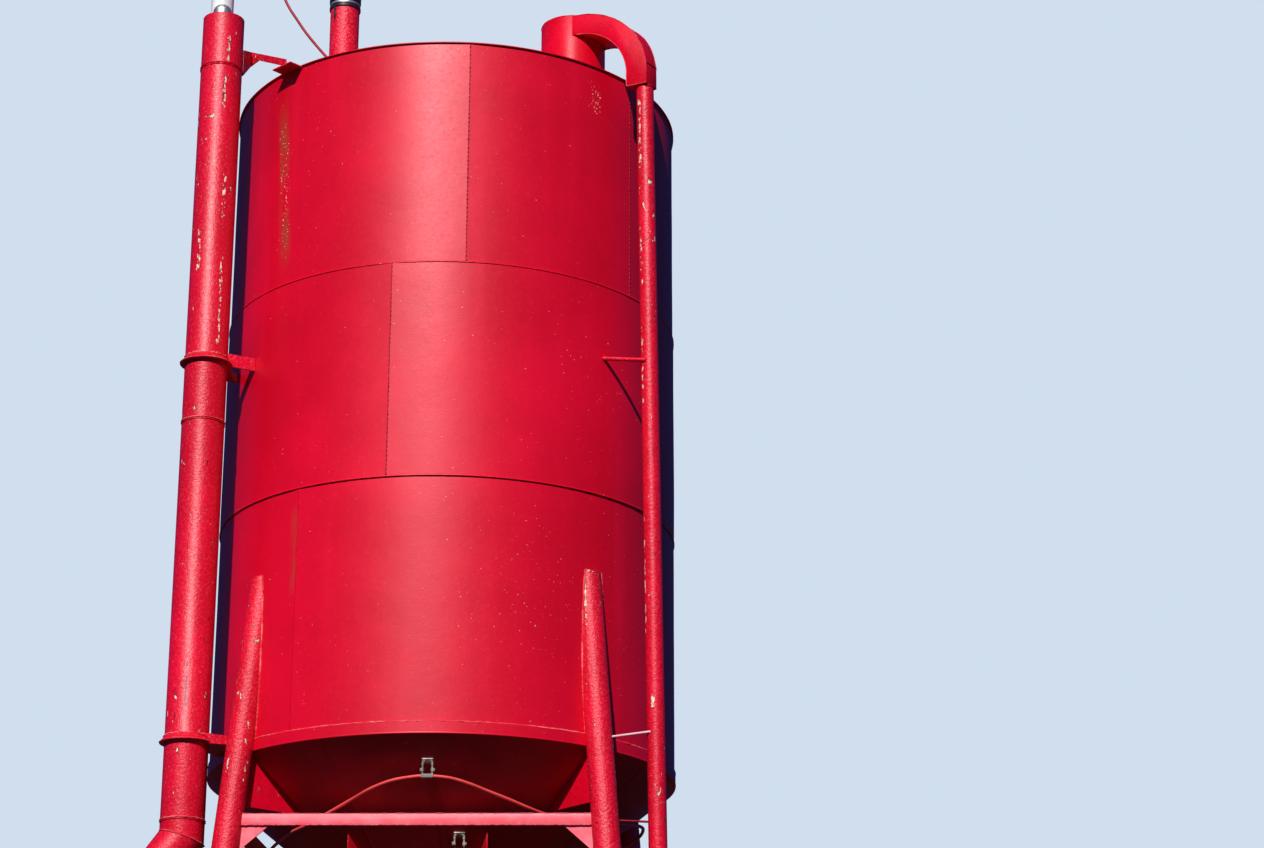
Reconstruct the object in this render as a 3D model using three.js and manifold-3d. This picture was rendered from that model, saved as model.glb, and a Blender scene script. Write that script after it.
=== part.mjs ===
// Cement silo on four raked legs: a three-course plate shell with a shallow roof, a cone hopper,
// a large riser duct on the left, a fill pipe with a box elbow and drum on the right.
// Millimetres, +Z up, ground at z = 0. The shell is drawn about the Z axis and the whole
// object is moved at the end so that the middle of its bounding box stands over the origin.
import * as THREE from 'three';
import { mergeVertices } from 'three/addons/utils/BufferGeometryUtils.js';
import Module from 'manifold-3d';

const wasm = await Module();
wasm.setup();

// Driving dimensions
const GAP = 0.4; // play between two pieces that touch
const GRID = 4; // degrees of arc in one facet of the shell
const SHELL_R = 1500; // outer radius of the top and bottom courses
const WALL = 6; // shell plate thickness
const MID_R = 1506.4; // outer radius of the middle course, lapped outside the others
const LAP = 40; // height of each lap between courses
const Z_SKIRT = 5700; // bottom edge of the shell
const Z_BAND = 5774; // top of the base ring
const Z_SEAM_B = 7334; // bottom edge of the middle course
const Z_SEAM_A = 8759; // top edge of the middle course
const Z_RIM = 10295; // top edge of the shell
const BAND_R = 1510; // outer radius of the base ring
const ROOF_R = 1512; // the roof plate overhangs the shell by a little
const ROOF_RISE = 157; // height gained from rim to crown
const ROOF_T = 6;
const CONE_SLOPE = 39; // degrees from the horizontal
const CONE_R_LOW = 200;
const LEG_R = 84.15;
const LEG_AT_SKIRT = 1572; // distance of a leg's centre line from the axis at the skirt
const LEG_RAKE = 0.1124; // outward travel per unit of drop
const Z_LEG_TOP = 6820;
const FOOT = 360;
const FOOT_T = 20;
const BEAM = 70;
const BEAM_T = 7;
const Z_BEAM = 5250; // middle height of the tie beams
const FRONT_BEAM_TILT = 0.7; // degrees; the front tie is welded slightly out of level
const PLATE_T = 10; // thickness of gussets and brackets
const RISER = { x: -1450, y: -1080, r: 136.5, ring: 167, zTop: 10722, zMitre: 5168 };
const RISER_RINGS = [5755, 8249]; // underside heights of the two flared collars
const COLLAR = { lip: 6, height: 42 }; // straight lip, then a flare back to the duct
const BRACKET_AZ = 33; // heading of the bracket arms, from the duct to the shell
const ELBOW_TILT = 35; // degrees away from straight down
const ELBOW_AZ = 190;
const FILL = { x: 1386, y: -1050, z: 10100, lean: 0.01514, r: 57.15, zLow: 1400, bend: 250 };
const BOX_AZ = -30; // heading of the box elbow, from the drum to the fill pipe
const BOX_W = 122; // width at its outer end; it widens towards the drum
const BOX_SPREAD = 10; // degrees that each side turns outward
const DRUM = { x: 877, y: -727, r: 215.3, zTop: 10764 };
const VENT = { x: -644, y: -1000, r: 96.8, cap: 105, zTop: 10800 };

const rad = THREE.MathUtils.degToRad;
const coneTan = Math.tan(rad(CONE_SLOPE));
const Z_CONE_TOP = Z_SKIRT - GAP;
const coneZ = (r) => Z_CONE_TOP - (SHELL_R - r) * coneTan;
const legR = (z) => LEG_AT_SKIRT + LEG_RAKE * (Z_SKIRT - z);
const fillX = (z) => FILL.x + FILL.lean * (FILL.z - z);

// Bare geometry: positions only, shared vertices merged, faces pointing out
function tidy(geometry) {
  let g = geometry.clone();
  g.deleteAttribute('normal');
  g.deleteAttribute('uv');
  g = mergeVertices(g, 0.01);
  const p = g.attributes.position;
  const index = [];
  let volume = 0;
  const a = new THREE.Vector3();
  const b = new THREE.Vector3();
  const c = new THREE.Vector3();
  for (let i = 0; i < g.index.count; i += 3) {
    const [i0, i1, i2] = [g.index.getX(i), g.index.getX(i + 1), g.index.getX(i + 2)];
    if (i0 === i1 || i1 === i2 || i0 === i2) continue;
    index.push(i0, i1, i2);
    a.fromBufferAttribute(p, i0);
    b.fromBufferAttribute(p, i1);
    c.fromBufferAttribute(p, i2);
    volume += a.dot(b.cross(c));
  }
  if (volume < 0) index.reverse();
  g.setIndex(index);
  return g;
}

function toSolid(geometry) {
  const g = tidy(geometry);
  return new wasm.Manifold(new wasm.Mesh({
    numProp: 3,
    vertProperties: new Float32Array(g.attributes.position.array),
    triVerts: new Uint32Array(g.index.array),
  }));
}

function toGeometry(solid) {
  const mesh = solid.getMesh();
  const g = new THREE.BufferGeometry();
  g.setAttribute('position', new THREE.BufferAttribute(new Float32Array(mesh.vertProperties), 3));
  g.setIndex(new THREE.BufferAttribute(new Uint32Array(mesh.triVerts), 1));
  return g;
}

const cut = (solid, ...tools) => tools.reduce((s, t) => s.subtract(t), solid);
const join = (...solids) => solids.reduce((s, t) => s.add(t));

// Upright cylinder whose corners stand on whole steps of the facet grid
function upright(r, z0, z1, x = 0, y = 0, sides = 360 / GRID, rows = 1) {
  const g = new THREE.CylinderGeometry(r, r, z1 - z0, sides, rows);
  g.rotateX(Math.PI / 2);
  g.rotateZ(rad(180 / sides));
  g.translate(x, y, (z0 + z1) / 2);
  return g;
}

function rod(a, b, r, sides) {
  const dir = new THREE.Vector3().subVectors(b, a);
  const g = new THREE.CylinderGeometry(r, r, dir.length(), sides);
  g.applyQuaternion(new THREE.Quaternion().setFromUnitVectors(
    new THREE.Vector3(0, 1, 0), dir.clone().normalize()));
  g.translate((a.x + b.x) / 2, (a.y + b.y) / 2, (a.z + b.z) / 2);
  return g;
}

function box(x0, x1, y0, y1, z0, z1) {
  const g = new THREE.BoxGeometry(x1 - x0, y1 - y0, z1 - z0);
  g.translate((x0 + x1) / 2, (y0 + y1) / 2, (z0 + z1) / 2);
  return g;
}

// Flat outline in X and Y, raised from z0 to z1
function slab(points, z0, z1) {
  const shape = new THREE.Shape(points.map(([x, y]) => new THREE.Vector2(x, y)));
  const g = new THREE.ExtrudeGeometry(shape, { depth: z1 - z0, bevelEnabled: false });
  g.translate(0, 0, z0);
  return g;
}

// Upright plate: outline in (distance along the heading, height), centred on that heading
function fin(points, az, thickness) {
  const g = slab(points, -thickness / 2, thickness / 2);
  g.rotateX(Math.PI / 2);
  g.rotateZ(rad(az));
  return g;
}

function turned(profile, sides = 360 / GRID, x = 0, y = 0) {
  const g = new THREE.LatheGeometry(profile.map(([r, z]) => new THREE.Vector2(r, z)), sides);
  g.rotateX(Math.PI / 2);
  g.rotateZ(rad(180 / sides));
  g.translate(x, y, 0);
  return g;
}

// Curved plate between two headings, on the facet grid
function arcWall(rIn, rOut, a0, a1, z0, z1) {
  const inset = THREE.MathUtils.radToDeg(GAP / 2 / rOut);
  const angles = [a0 + inset];
  for (let a = a0 + GRID; a < a1; a += GRID) angles.push(a);
  angles.push(a1 - inset);
  const at = (r, a) => [r * Math.cos(rad(a)), r * Math.sin(rad(a))];
  const outer = angles.map((a) => at(rOut, a));
  const inner = angles.map((a) => at(rIn, a)).reverse();
  return slab([...outer, ...inner], z0, z1);
}


// Round bar along a curve
function tube(points, r, steps, sidesOfTube) {
  const ring = new THREE.Shape();
  ring.absarc(0, 0, r, 0, 2 * Math.PI, false);
  return new THREE.ExtrudeGeometry(ring, {
    steps, curveSegments: sidesOfTube, bevelEnabled: false,
    extrudePath: new THREE.CatmullRomCurve3(points.map((p) => new THREE.Vector3(...p))),
  });
}

const legLine = (az, extra = 0) => {
  const at = (z) => new THREE.Vector3(
    legR(z) * Math.cos(rad(az)), legR(z) * Math.sin(rad(az)), z);
  return rod(at(-300), at(7100), LEG_R + extra, 24);
};

const RED = { color: 0xb3122a, roughness: 0.35, metalness: 0 };
const RED_WORN = { color: 0xa81830, roughness: 0.5, metalness: 0 };
const RED_SHADE = { color: 0x8f0f22, roughness: 0.45, metalness: 0 };
const ZINC = { color: 0xb8b4a8, roughness: 0.45, metalness: 0.8 };
const WHITE = { color: 0xe9e8e4, roughness: 0.5, metalness: 0 };
const BLACK = { color: 0x17181a, roughness: 0.6, metalness: 0 };

const silo = new THREE.Group();
function add(name, geometry, look) {
  const g = tidy(geometry);
  g.computeVertexNormals();
  const mesh = new THREE.Mesh(g, new THREE.MeshStandardMaterial(look));
  mesh.name = name;
  silo.add(mesh);
}

// Shell: three courses of curved plates with their upright seams
const courses = [
  { name: 'shell_top_plate', z0: Z_SEAM_A - LAP, z1: Z_RIM, r: SHELL_R, seams: [-80, -32, 56, 168] },
  { name: 'shell_middle_plate', z0: Z_SEAM_B, z1: Z_SEAM_A, r: MID_R, seams: [-96, 24, 144] },
  { name: 'shell_bottom_plate', z0: Z_SKIRT, z1: Z_SEAM_B + LAP, r: SHELL_R, seams: [-120, 4, 124] },
];
for (const c of courses) {
  c.seams.forEach((a0, i) => {
    const a1 = i + 1 < c.seams.length ? c.seams[i + 1] : c.seams[0] + 360;
    add(`${c.name}_${i + 1}`, arcWall(c.r - WALL, c.r, a0, a1, c.z0, c.z1), RED);
  });
}
const shellLow = toSolid(upright(SHELL_R + GAP, 5580, Z_SEAM_B + 600));
const shellMid = toSolid(upright(MID_R + GAP, Z_SEAM_B, Z_SEAM_A));
const shellTop = toSolid(upright(SHELL_R + GAP, Z_SEAM_A, Z_RIM + 60));
const bandCut = toSolid(upright(BAND_R + GAP, Z_SKIRT - GAP, Z_BAND + GAP));

// Roof: a shallow cone with a flat rim that lies on the shell
const zRoof = Z_RIM + GAP;
add('roof', turned([
  [0, zRoof + ROOF_RISE], [SHELL_R - WALL, zRoof], [ROOF_R, zRoof], [ROOF_R, zRoof + ROOF_T],
  [SHELL_R - WALL, zRoof + ROOF_T], [0, zRoof + ROOF_RISE + ROOF_T],
]), RED);
const roofCut = toSolid(turned([
  [0, 9000], [1700, 9000], [1700, zRoof + ROOF_T + GAP],
  [SHELL_R - WALL, zRoof + ROOF_T + GAP], [0, zRoof + ROOF_RISE + ROOF_T + GAP],
]));
const roofEdge = toSolid(upright(ROOF_R + GAP, Z_RIM, Z_RIM + 800));

// Base ring round the bottom edge, in two halves that meet behind the legs
add('base_ring_right', arcWall(SHELL_R + GAP, BAND_R, -136, 44, Z_SKIRT, Z_BAND), RED);
add('base_ring_left', arcWall(SHELL_R + GAP, BAND_R, 44, 224, Z_SKIRT, Z_BAND), RED);

// Hopper: a cone of four plates, each cut from one turned ring
const coneDrop = WALL / Math.cos(rad(CONE_SLOPE));
const cone = toSolid(turned([
  [SHELL_R, Z_CONE_TOP], [SHELL_R - coneDrop / coneTan, Z_CONE_TOP],
  [CONE_R_LOW, coneZ(CONE_R_LOW) + coneDrop], [CONE_R_LOW, coneZ(CONE_R_LOW)],
  [SHELL_R, Z_CONE_TOP],
]));
const coneSeams = [-112, -24, 64, 156];
const ribAt = [-64.6, 59.5, 115.4, 239.5]; // one rib under each plate
const rib = (az) => toSolid(fin([
  [930, coneZ(930) + 4], [930, coneZ(930) - 122], [900, coneZ(930) - 140],
  [480, coneZ(480) - 82], [480, coneZ(480) + 4],
], az, PLATE_T));
coneSeams.forEach((a0, i) => {
  const a1 = i < 3 ? coneSeams[i + 1] : coneSeams[0] + 360;
  const mid = (a0 + a1) / 2;
  const half = (a1 - a0) / 2;
  const tip = GAP / 2 / Math.sin(rad(half));
  const point = (a, r) => [
    r * Math.cos(rad(a)) + tip * Math.cos(rad(mid)), r * Math.sin(rad(a)) + tip * Math.sin(rad(mid))];
  const wedge = toSolid(slab([point(a0, 0), point(a0, 2600), point(mid, 3600), point(a1, 2600)], 4400, 5800));
  add(`hopper_plate_${i + 1}`, toGeometry(join(cone.intersect(wedge), rib(ribAt[i]))), RED_SHADE);
});

// Outlet neck with its flange
const zOut = coneZ(CONE_R_LOW) - GAP;
add('outlet_flange', turned([
  [192, zOut - 106], [270, zOut - 106], [270, zOut - 88], [205, zOut - 88], [205, zOut], [192, zOut],
  [192, zOut - 106],
], 45), RED_SHADE);

// Legs, coped onto the shell and the base ring, cut flat at the top. Each carries its foot
// plate and the upright web plate that reaches in to the hopper.
const legNames = { leg_front_left: -135, leg_front_right: -45, leg_rear_right: 45, leg_rear_left: 135 };
const above = toSolid(box(-3000, 3000, -3000, 3000, Z_LEG_TOP, 7600));
const below = toSolid(box(-3000, 3000, -3000, 3000, -600, 2));
const footAt = legR(FOOT_T / 2) * Math.SQRT1_2;
const zWeb = 5362;
const legSolids = [];
for (const [name, az] of Object.entries(legNames)) {
  const tube = cut(toSolid(legLine(az)), shellLow, bandCut, above, below);
  const [x, y] = [footAt * Math.sign(Math.cos(rad(az))), footAt * Math.sign(Math.sin(rad(az)))];
  const foot = toSolid(box(x - FOOT / 2, x + FOOT / 2, y - FOOT / 2, y + FOOT / 2, 0, FOOT_T));
  const web = toSolid(fin([
    [SHELL_R - (Z_CONE_TOP - zWeb) / coneTan + 1.5, zWeb], [1600, zWeb], [1570, Z_SKIRT - 1],
    [SHELL_R + 0.5, Z_SKIRT - 1],
  ], az, PLATE_T));
  legSolids.push(toSolid(legLine(az, GAP)));
  add(name, toGeometry(join(tube, foot, web)), RED_WORN);
}
const legsCut = join(...legSolids);

// Tie beams: steel angles between the legs, with corner plates at their ends
const tieAt = legR(Z_BEAM) * Math.SQRT1_2;
const tieFace = -(tieAt + 22);
const PLATE_SET = 15; // the corner plates stand this far behind the face of the angle
function tieBeam() {
  const g = slab([
    [tieFace, -BEAM / 2], [tieFace + BEAM_T, -BEAM / 2], [tieFace + BEAM_T, BEAM / 2 - BEAM_T],
    [tieFace + BEAM, BEAM / 2 - BEAM_T], [tieFace + BEAM, BEAM / 2], [tieFace, BEAM / 2],
  ], -tieAt, tieAt);
  g.rotateX(Math.PI / 2);
  g.rotateZ(Math.PI / 2);
  return g;
}
function cornerPlate(side) {
  const top = BEAM / 2 - BEAM_T + 1;
  const g = slab([
    [side * (tieAt - 250), top], [side * (tieAt - 250), -BEAM / 2 - GAP],
    [side * (tieAt - 75), -BEAM / 2 - 154], [side * (tieAt + 20), -BEAM / 2 - 154],
    [side * (tieAt + 20), top],
  ], -PLATE_T / 2, PLATE_T / 2);
  g.rotateX(Math.PI / 2);
  g.translate(0, tieFace + PLATE_SET + PLATE_T / 2, 0);
  return g;
}
const sides = { front: 0, right: 90, rear: 180, left: 270 };
for (const [name, turn] of Object.entries(sides)) {
  const place = (g) => {
    if (name === 'front') g.rotateY(rad(FRONT_BEAM_TILT));
    g.translate(0, 0, Z_BEAM);
    g.rotateZ(rad(turn));
    return toSolid(g);
  };
  const beam = join(...[tieBeam(), cornerPlate(-1), cornerPlate(1)].map(place));
  add(`tie_beam_${name}`, toGeometry(cut(beam, legsCut)), RED);
}

// Riser duct on the left: each length ends in a flared collar, the lowest in a mitred elbow
const collar = (z, play) => toSolid(turned([
  [0, z - play], [RISER.ring + play, z - play], [RISER.ring + play, z + COLLAR.lip + play],
  [RISER.r + play, z + COLLAR.height + play], [0, z + COLLAR.height + play],
], 32, RISER.x, RISER.y));
const riserCut = join(
  toSolid(upright(RISER.r + GAP, 4900, RISER.zTop + 100, RISER.x, RISER.y, 32)),
  ...RISER_RINGS.map((z) => collar(z, GAP)));
const mitre = new THREE.Vector3(RISER.x, RISER.y, RISER.zMitre);
const down = new THREE.Vector3(0, 0, -1);
const away = new THREE.Vector3(
  Math.sin(rad(ELBOW_TILT)) * Math.cos(rad(ELBOW_AZ)),
  Math.sin(rad(ELBOW_TILT)) * Math.sin(rad(ELBOW_AZ)), -Math.cos(rad(ELBOW_TILT)));
const bisector = new THREE.Vector3().addVectors(down, away).normalize();
const [ringLow, ringHigh] = RISER_RINGS;
const length = (z0, z1) => toSolid(upright(RISER.r, z0, z1, RISER.x, RISER.y, 32));
const along = (d) => mitre.clone().addScaledVector(away, d);
// The lowest length and the bend are one bar with three rows of corners: its top, the mitre
// and its end, which stands inside the end ring
const lowLength = upright(RISER.r, -1, 1, 0, 0, 32, 2);
const row = lowLength.attributes.position;
for (let i = 0; i < row.count; i += 1) {
  const level = Math.round(row.getZ(i));
  const p = new THREE.Vector3(row.getX(i), row.getY(i), 0);
  if (level === 1) {
    p.z = ringLow - GAP - RISER.zMitre;
  } else {
    p.z = -p.dot(bisector) / bisector.z;
    if (level === -1) p.addScaledVector(away, 371 - p.dot(away));
  }
  p.add(mitre);
  row.setXYZ(i, p.x, p.y, p.z);
}
add('riser_top', toGeometry(join(
  length(ringHigh, RISER.zTop), collar(ringHigh, 0))), RED_WORN);
add('riser_middle', toGeometry(join(
  length(ringLow, ringHigh - GAP), collar(ringLow, 0))), RED_WORN);
add('riser_low', toGeometry(join(toSolid(lowLength),
  toSolid(rod(along(362), along(380), RISER.ring, 32)))), RED_WORN);
add('riser_dome', turned([
  [0, RISER.zTop + GAP], [61, RISER.zTop + GAP], [61, RISER.zTop + 22], [52, RISER.zTop + 50],
  [31, RISER.zTop + 72], [0, RISER.zTop + 80],
], 24, RISER.x + 3, RISER.y - 72), ZINC);
add('riser_mast', upright(75, RISER.zTop + GAP, 11500, RISER.x - 31, RISER.y + 66, 24), WHITE);

// Brackets that hold the riser. The top one is a side plate on the duct and a brace that slopes
// down to a plate at the rim; the others are seat plates under a collar, with upright arms.
function arm(x, y, az, outline, thickness = PLATE_T) {
  const g = fin(outline, az, thickness);
  g.translate(x, y, 0);
  return toSolid(g);
}
const rimPlate = box(1400, 1605, -90, 90, Z_RIM - 8, Z_RIM);
rimPlate.rotateZ(rad(-129.1));
const sidePlate = arm(-1314.5, -1100, 88, [
  [-20, 10293], [13, 10293], [268, 10503], [276, 10503], [276, 10608], [-20, 10483]]);
const brace = arm(-1305, -830, -51.5, [
  [-5, 10502], [115, 10499], [515, 10292], [515, 10345], [-5, 10610]]);
add('riser_bracket_top', toGeometry(cut(
  join(toSolid(rimPlate), sidePlate, brace), shellTop, roofEdge, riserCut)), RED_WORN);
const bar = (z0, z1, length) => [[0, z0], [length, z0], [length, z1], [0, z1]];
const zMidSeat = ringHigh - GAP;
const midSeat = toSolid(slab([
  [-1346, -1098], [-1288, -1060], [-1312, -939], [-1322, -767], [-1450, -850], [-1455, -935],
], zMidSeat - 8, zMidSeat));
add('riser_bracket_middle', toGeometry(cut(join(midSeat,
  arm(-1346, -1098, BRACKET_AZ, bar(zMidSeat - 8, 8327, 280)),
  arm(-1450, -850, BRACKET_AZ, bar(zMidSeat - 8, 8306, 200))), shellMid, riserCut)), RED_WORN);
const zLowSeat = ringLow - GAP;
const lowSeat = toSolid(slab([
  [-1325, -1142], [-1180, -1086], [-1060, -1000], [-1200, -820], [-1300, -742], [-1333, -777],
  [-1356, -862], [-1375, -960],
], zLowSeat - PLATE_T, zLowSeat));
add('riser_bracket_low', toGeometry(cut(join(lowSeat,
  arm(-1343, -1149, 22, [[0, zLowSeat - PLATE_T], [190, zLowSeat - PLATE_T], [190, 5798], [0, 5812]])),
shellLow, bandCut, riserCut, legsCut)), RED_WORN);

// Fill pipe on the right, with its bend and coupling near the ground
const fillLow = new THREE.Vector3(fillX(FILL.zLow), FILL.y, FILL.zLow);
const fillLine = (extra) => toSolid(rod(new THREE.Vector3(fillX(10300), FILL.y, 10300),
  new THREE.Vector3(fillX(1200), FILL.y, 1200), FILL.r + extra, 20));
const band = (z0, z1) => toSolid(box(-4000, 4000, -4000, 4000, z0, z1));
const bendPoints = [];
for (let i = 0; i <= 10; i += 1) {
  const a = rad(9 * i);
  bendPoints.push(new THREE.Vector3(fillLow.x + FILL.bend * (1 - Math.cos(a)),
    FILL.y, FILL.zLow - FILL.bend * Math.sin(a)));
}
const xEnd = fillLow.x + FILL.bend;
const zEnd = FILL.zLow - FILL.bend;
bendPoints.push(new THREE.Vector3(xEnd + 40, FILL.y, zEnd));
const bend = tube(bendPoints.map((p) => [p.x, p.y, p.z]), FILL.r, 12, 20);
const across = (x, x2, r) => toSolid(rod(
  new THREE.Vector3(x, FILL.y, zEnd), new THREE.Vector3(x2, FILL.y, zEnd), r, 24));
add('fill_coupling', toGeometry(join(
  across(xEnd + 0.6, xEnd + 60, FILL.r + 8), across(xEnd + 40, xEnd + 95, 82))), ZINC);
add('fill_pipe', toGeometry(join(
  fillLine(0).intersect(band(FILL.zLow - 1, 10149.6)),
  toSolid(bend).intersect(toSolid(box(0, xEnd, -4000, 4000, 0, 4000))))), RED_WORN);

// Stays that hold the fill pipe to the shell and to the right front leg
const fillCut = fillLine(GAP);
const stays = [
  [[1069, -997, 8265], [1395, -1101, 8207], 13.5],
  [[1130, -1136, 5741], [1440, -1088, 5790], 8],
  [[1160, -1128, 5236], [1450, -1052, 5236], 7],
  [[1440, -1410, 1700], [1512, -1070, 1700], 9],
];
stays.forEach(([a, b, r], i) => {
  const bar = toSolid(rod(new THREE.Vector3(...a), new THREE.Vector3(...b), r, 8));
  add(`fill_stay_${i + 1}`, toGeometry(cut(bar, shellMid, legsCut, fillCut)), RED_WORN);
});

// Box elbow from the fill pipe into the side of the drum, and the drum on the roof
const heading = new THREE.Vector3(Math.cos(rad(BOX_AZ)), Math.sin(rad(BOX_AZ)), 0);
const sideways = new THREE.Vector3(heading.y, -heading.x, 0);
const elbow = new THREE.Shape();
elbow.moveTo(-585, 10603);
elbow.lineTo(-450, 10603);
elbow.absarc(-450, 10245, 358, Math.PI / 2, 0, true);
elbow.lineTo(-92, 10150);
elbow.lineTo(50, 10150);
elbow.lineTo(50, 10245);
elbow.absarc(-450, 10245, 500, 0, Math.PI / 2, false);
elbow.lineTo(-585, 10745);
const elbowGeometry = new THREE.ExtrudeGeometry(elbow, {
  depth: 2, bevelEnabled: false, curveSegments: 12,
});
const corner = elbowGeometry.attributes.position;
for (let i = 0; i < corner.count; i += 1) {
  const halfWidth = BOX_W / 2 + (50 - corner.getX(i)) * Math.tan(rad(BOX_SPREAD));
  corner.setZ(i, (corner.getZ(i) - 1) * halfWidth);
}
elbowGeometry.applyMatrix4(new THREE.Matrix4()
  .makeBasis(heading, new THREE.Vector3(0, 0, 1), sideways).setPosition(FILL.x, FILL.y, 0));
const drumCut = toSolid(upright(DRUM.r + GAP, 10000, 10900, DRUM.x, DRUM.y, 36));
add('box_elbow', toGeometry(cut(toSolid(elbowGeometry), drumCut, roofCut)), RED);
add('roof_drum', toGeometry(cut(
  toSolid(upright(DRUM.r, 10200, DRUM.zTop, DRUM.x, DRUM.y, 36)), roofCut)), RED);

// Roof vent with its dark collar cap, and the thin gauge line
add('vent_pipe', toGeometry(cut(
  toSolid(upright(VENT.r, 10200, VENT.zTop, VENT.x, VENT.y, 28)), roofCut)), RED_WORN);
add('vent_cap', turned([
  [0, VENT.zTop + GAP], [VENT.cap, VENT.zTop + GAP], [VENT.cap, VENT.zTop + 120],
  [VENT.cap - 12, VENT.zTop + 150], [VENT.cap - 55, VENT.zTop + 172], [0, VENT.zTop + 180],
], 28, VENT.x, VENT.y), BLACK);
add('gauge_line', toGeometry(cut(toSolid(tube([
  [-622, -1193, 10270], [-682, -1170, 10334], [-735, -1149, 10399], [-818, -1116, 10510],
  [-895, -1086, 10621], [-973, -1057, 10749], [-1013, -1042, 10816], [-1053, -1027, 10900],
  [-1086, -1015, 10998], [-1102, -1011, 11115],
], 9, 32, 8)), roofCut)), RED);

// Air hose round the hopper: it hangs a little off the cone, in clamps at the front and rear
const HOSE_DROP = 113; // height of the cone above the hose
const airPath = [[-176, 1050], [-172.5, 1072], [-167, 1088], [-149, 1090], [-139, 1109], [-129.6, 1127],
  [-117.6, 1179], [-109.2, 1233], [-102, 1292], [-96, 1333], [-90.6, 1353], [-86.2, 1359],
  [-80.4, 1348], [-75, 1316], [-69.2, 1275], [-62.8, 1237], [-55.7, 1199], [-48, 1172], [-38, 1165],
  [-28, 1185], [-15, 1240], [-3, 1285], [6, 1300], [17, 1290], [30, 1225], [42, 1172], [52, 1165],
  [63, 1200], [75, 1270], [85, 1340], [93.8, 1359], [102, 1340], [114, 1270], [129, 1165], [142, 1112],
  [158, 1088], [169, 1075], [176, 1050]];
const hosePoint = (az, r) => [r * Math.cos(rad(az)), r * Math.sin(rad(az)), coneZ(r) - HOSE_DROP];
const hose = (extra) => toSolid(tube(airPath.map(([az, r]) => hosePoint(az, r)), 9.5 + extra, 144, 8));
function coneBlock(az, r, wide, long, high, lift) {
  const g = new THREE.BoxGeometry(long, wide, high);
  g.translate(0, 0, -high / 2 - lift);
  g.rotateY(-rad(CONE_SLOPE));
  g.translate(r, 0, coneZ(r));
  g.rotateZ(rad(az));
  return toSolid(g);
}
add('air_line', toGeometry(join(hose(0), coneBlock(180, 992, 180, 40, 98, 0.35))), RED);
// Each clamp is a plate on the cone, two straps down from it and a saddle for the hose
function clamp(az, r, lift) {
  const level = (x0, x1, y0, y1, z0, z1) => {
    const g = box(x0, x1, y0, y1, z0, z1);
    g.rotateZ(rad(az));
    return toSolid(g);
  };
  const top = coneZ(r) - 11;
  const low = coneZ(r) - 101;
  return join(coneBlock(az, r, 70, 36, 10, lift), level(r - 2, r + 18, -34, -24, low, top),
    level(r - 2, r + 18, 24, 34, low, top), level(r + 1, r + 29, -38, 38, low - 12, low + 12));
}
const clamps = { front_high: [-86.2, 1344], front_low: [-75.3, 902], rear_high: [93.8, 1344],
  rear_low: [104.7, 902] };
for (const [name, [az, r]] of Object.entries(clamps)) {
  const body = clamp(az, r, r < 1000 ? 0.35 : -0.1);
  add(`air_nozzle_${name}`, toGeometry(r < 1000 ? body : cut(body, hose(GAP))), ZINC);
}

// Stand the middle of the bounding box over the origin
const bounds = new THREE.Box3().setFromObject(silo);
const middle = bounds.getCenter(new THREE.Vector3());
silo.position.set(-middle.x, -middle.y, 0);
silo.updateMatrixWorld(true);

export default silo;
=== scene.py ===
"""Cement silo on raked legs: finished pieces and paint over the solid frame."""
import math
import random

import bmesh
import bpy
from mathutils import Matrix, Vector, noise


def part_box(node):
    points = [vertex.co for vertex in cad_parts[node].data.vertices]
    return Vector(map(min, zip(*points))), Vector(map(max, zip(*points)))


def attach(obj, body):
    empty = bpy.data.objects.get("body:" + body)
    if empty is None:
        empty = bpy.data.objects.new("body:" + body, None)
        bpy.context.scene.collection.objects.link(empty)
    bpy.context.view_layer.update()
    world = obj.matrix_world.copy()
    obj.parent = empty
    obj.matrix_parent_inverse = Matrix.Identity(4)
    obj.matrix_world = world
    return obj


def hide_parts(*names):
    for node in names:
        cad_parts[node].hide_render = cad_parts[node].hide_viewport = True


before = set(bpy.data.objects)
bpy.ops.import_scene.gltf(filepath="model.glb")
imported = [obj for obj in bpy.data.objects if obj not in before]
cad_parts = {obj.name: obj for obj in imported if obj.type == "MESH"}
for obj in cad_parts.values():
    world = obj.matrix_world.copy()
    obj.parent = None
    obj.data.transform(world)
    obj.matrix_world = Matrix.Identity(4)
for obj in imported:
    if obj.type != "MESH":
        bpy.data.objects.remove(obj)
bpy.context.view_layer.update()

rad = math.radians
roof_low, roof_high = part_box("roof")
AXIS = (roof_low.x + roof_high.x) / 2  # the shell's axis, a little left of the origin
random.seed(11)

# Sizes, in metres
HAIR = 0.0004  # clear space between pieces that touch
R, R_MID, R_BAND = 1.5, 1.5064, 1.510  # outside of the shell, its middle course and the base ring
WALL = 0.006
# the skirt, the base ring's top, the lower and the upper lap, the rim
Z_SKIRT, Z_BAND, Z_SEAM_B, Z_SEAM_A, Z_RIM = 5.700, 5.774, 7.334, 8.759, 10.295
LAP = 0.040
Z_ROOF = Z_RIM + HAIR
RISE, EAVES = 0.157, 1.512  # how far the roof rises, and its outer radius
CONE_TILT = 39  # degrees
SLOPE = math.tan(rad(CONE_TILT))
Z_CONE = Z_SKIRT - HAIR
R_OUTLET = 0.2
LEG_R, LEG_TOP = 0.08415, 6.82
LEG_OUT, LEG_RAKE = 1.572, 0.1124  # distance from the axis at the skirt, and its growth downwards
LEG_FOOT, LEG_LEAN = 1.5647, 0.07948  # the same along X or Y, from the ground up
RISER_X, RISER_Y = -1.450, -1.080
RISER = Vector((RISER_X, RISER_Y, 0))
RISER_R, RISER_RING = 0.1365, 0.167
Z_RISER_TOP, Z_MITRE = 10.722, 5.168
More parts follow.
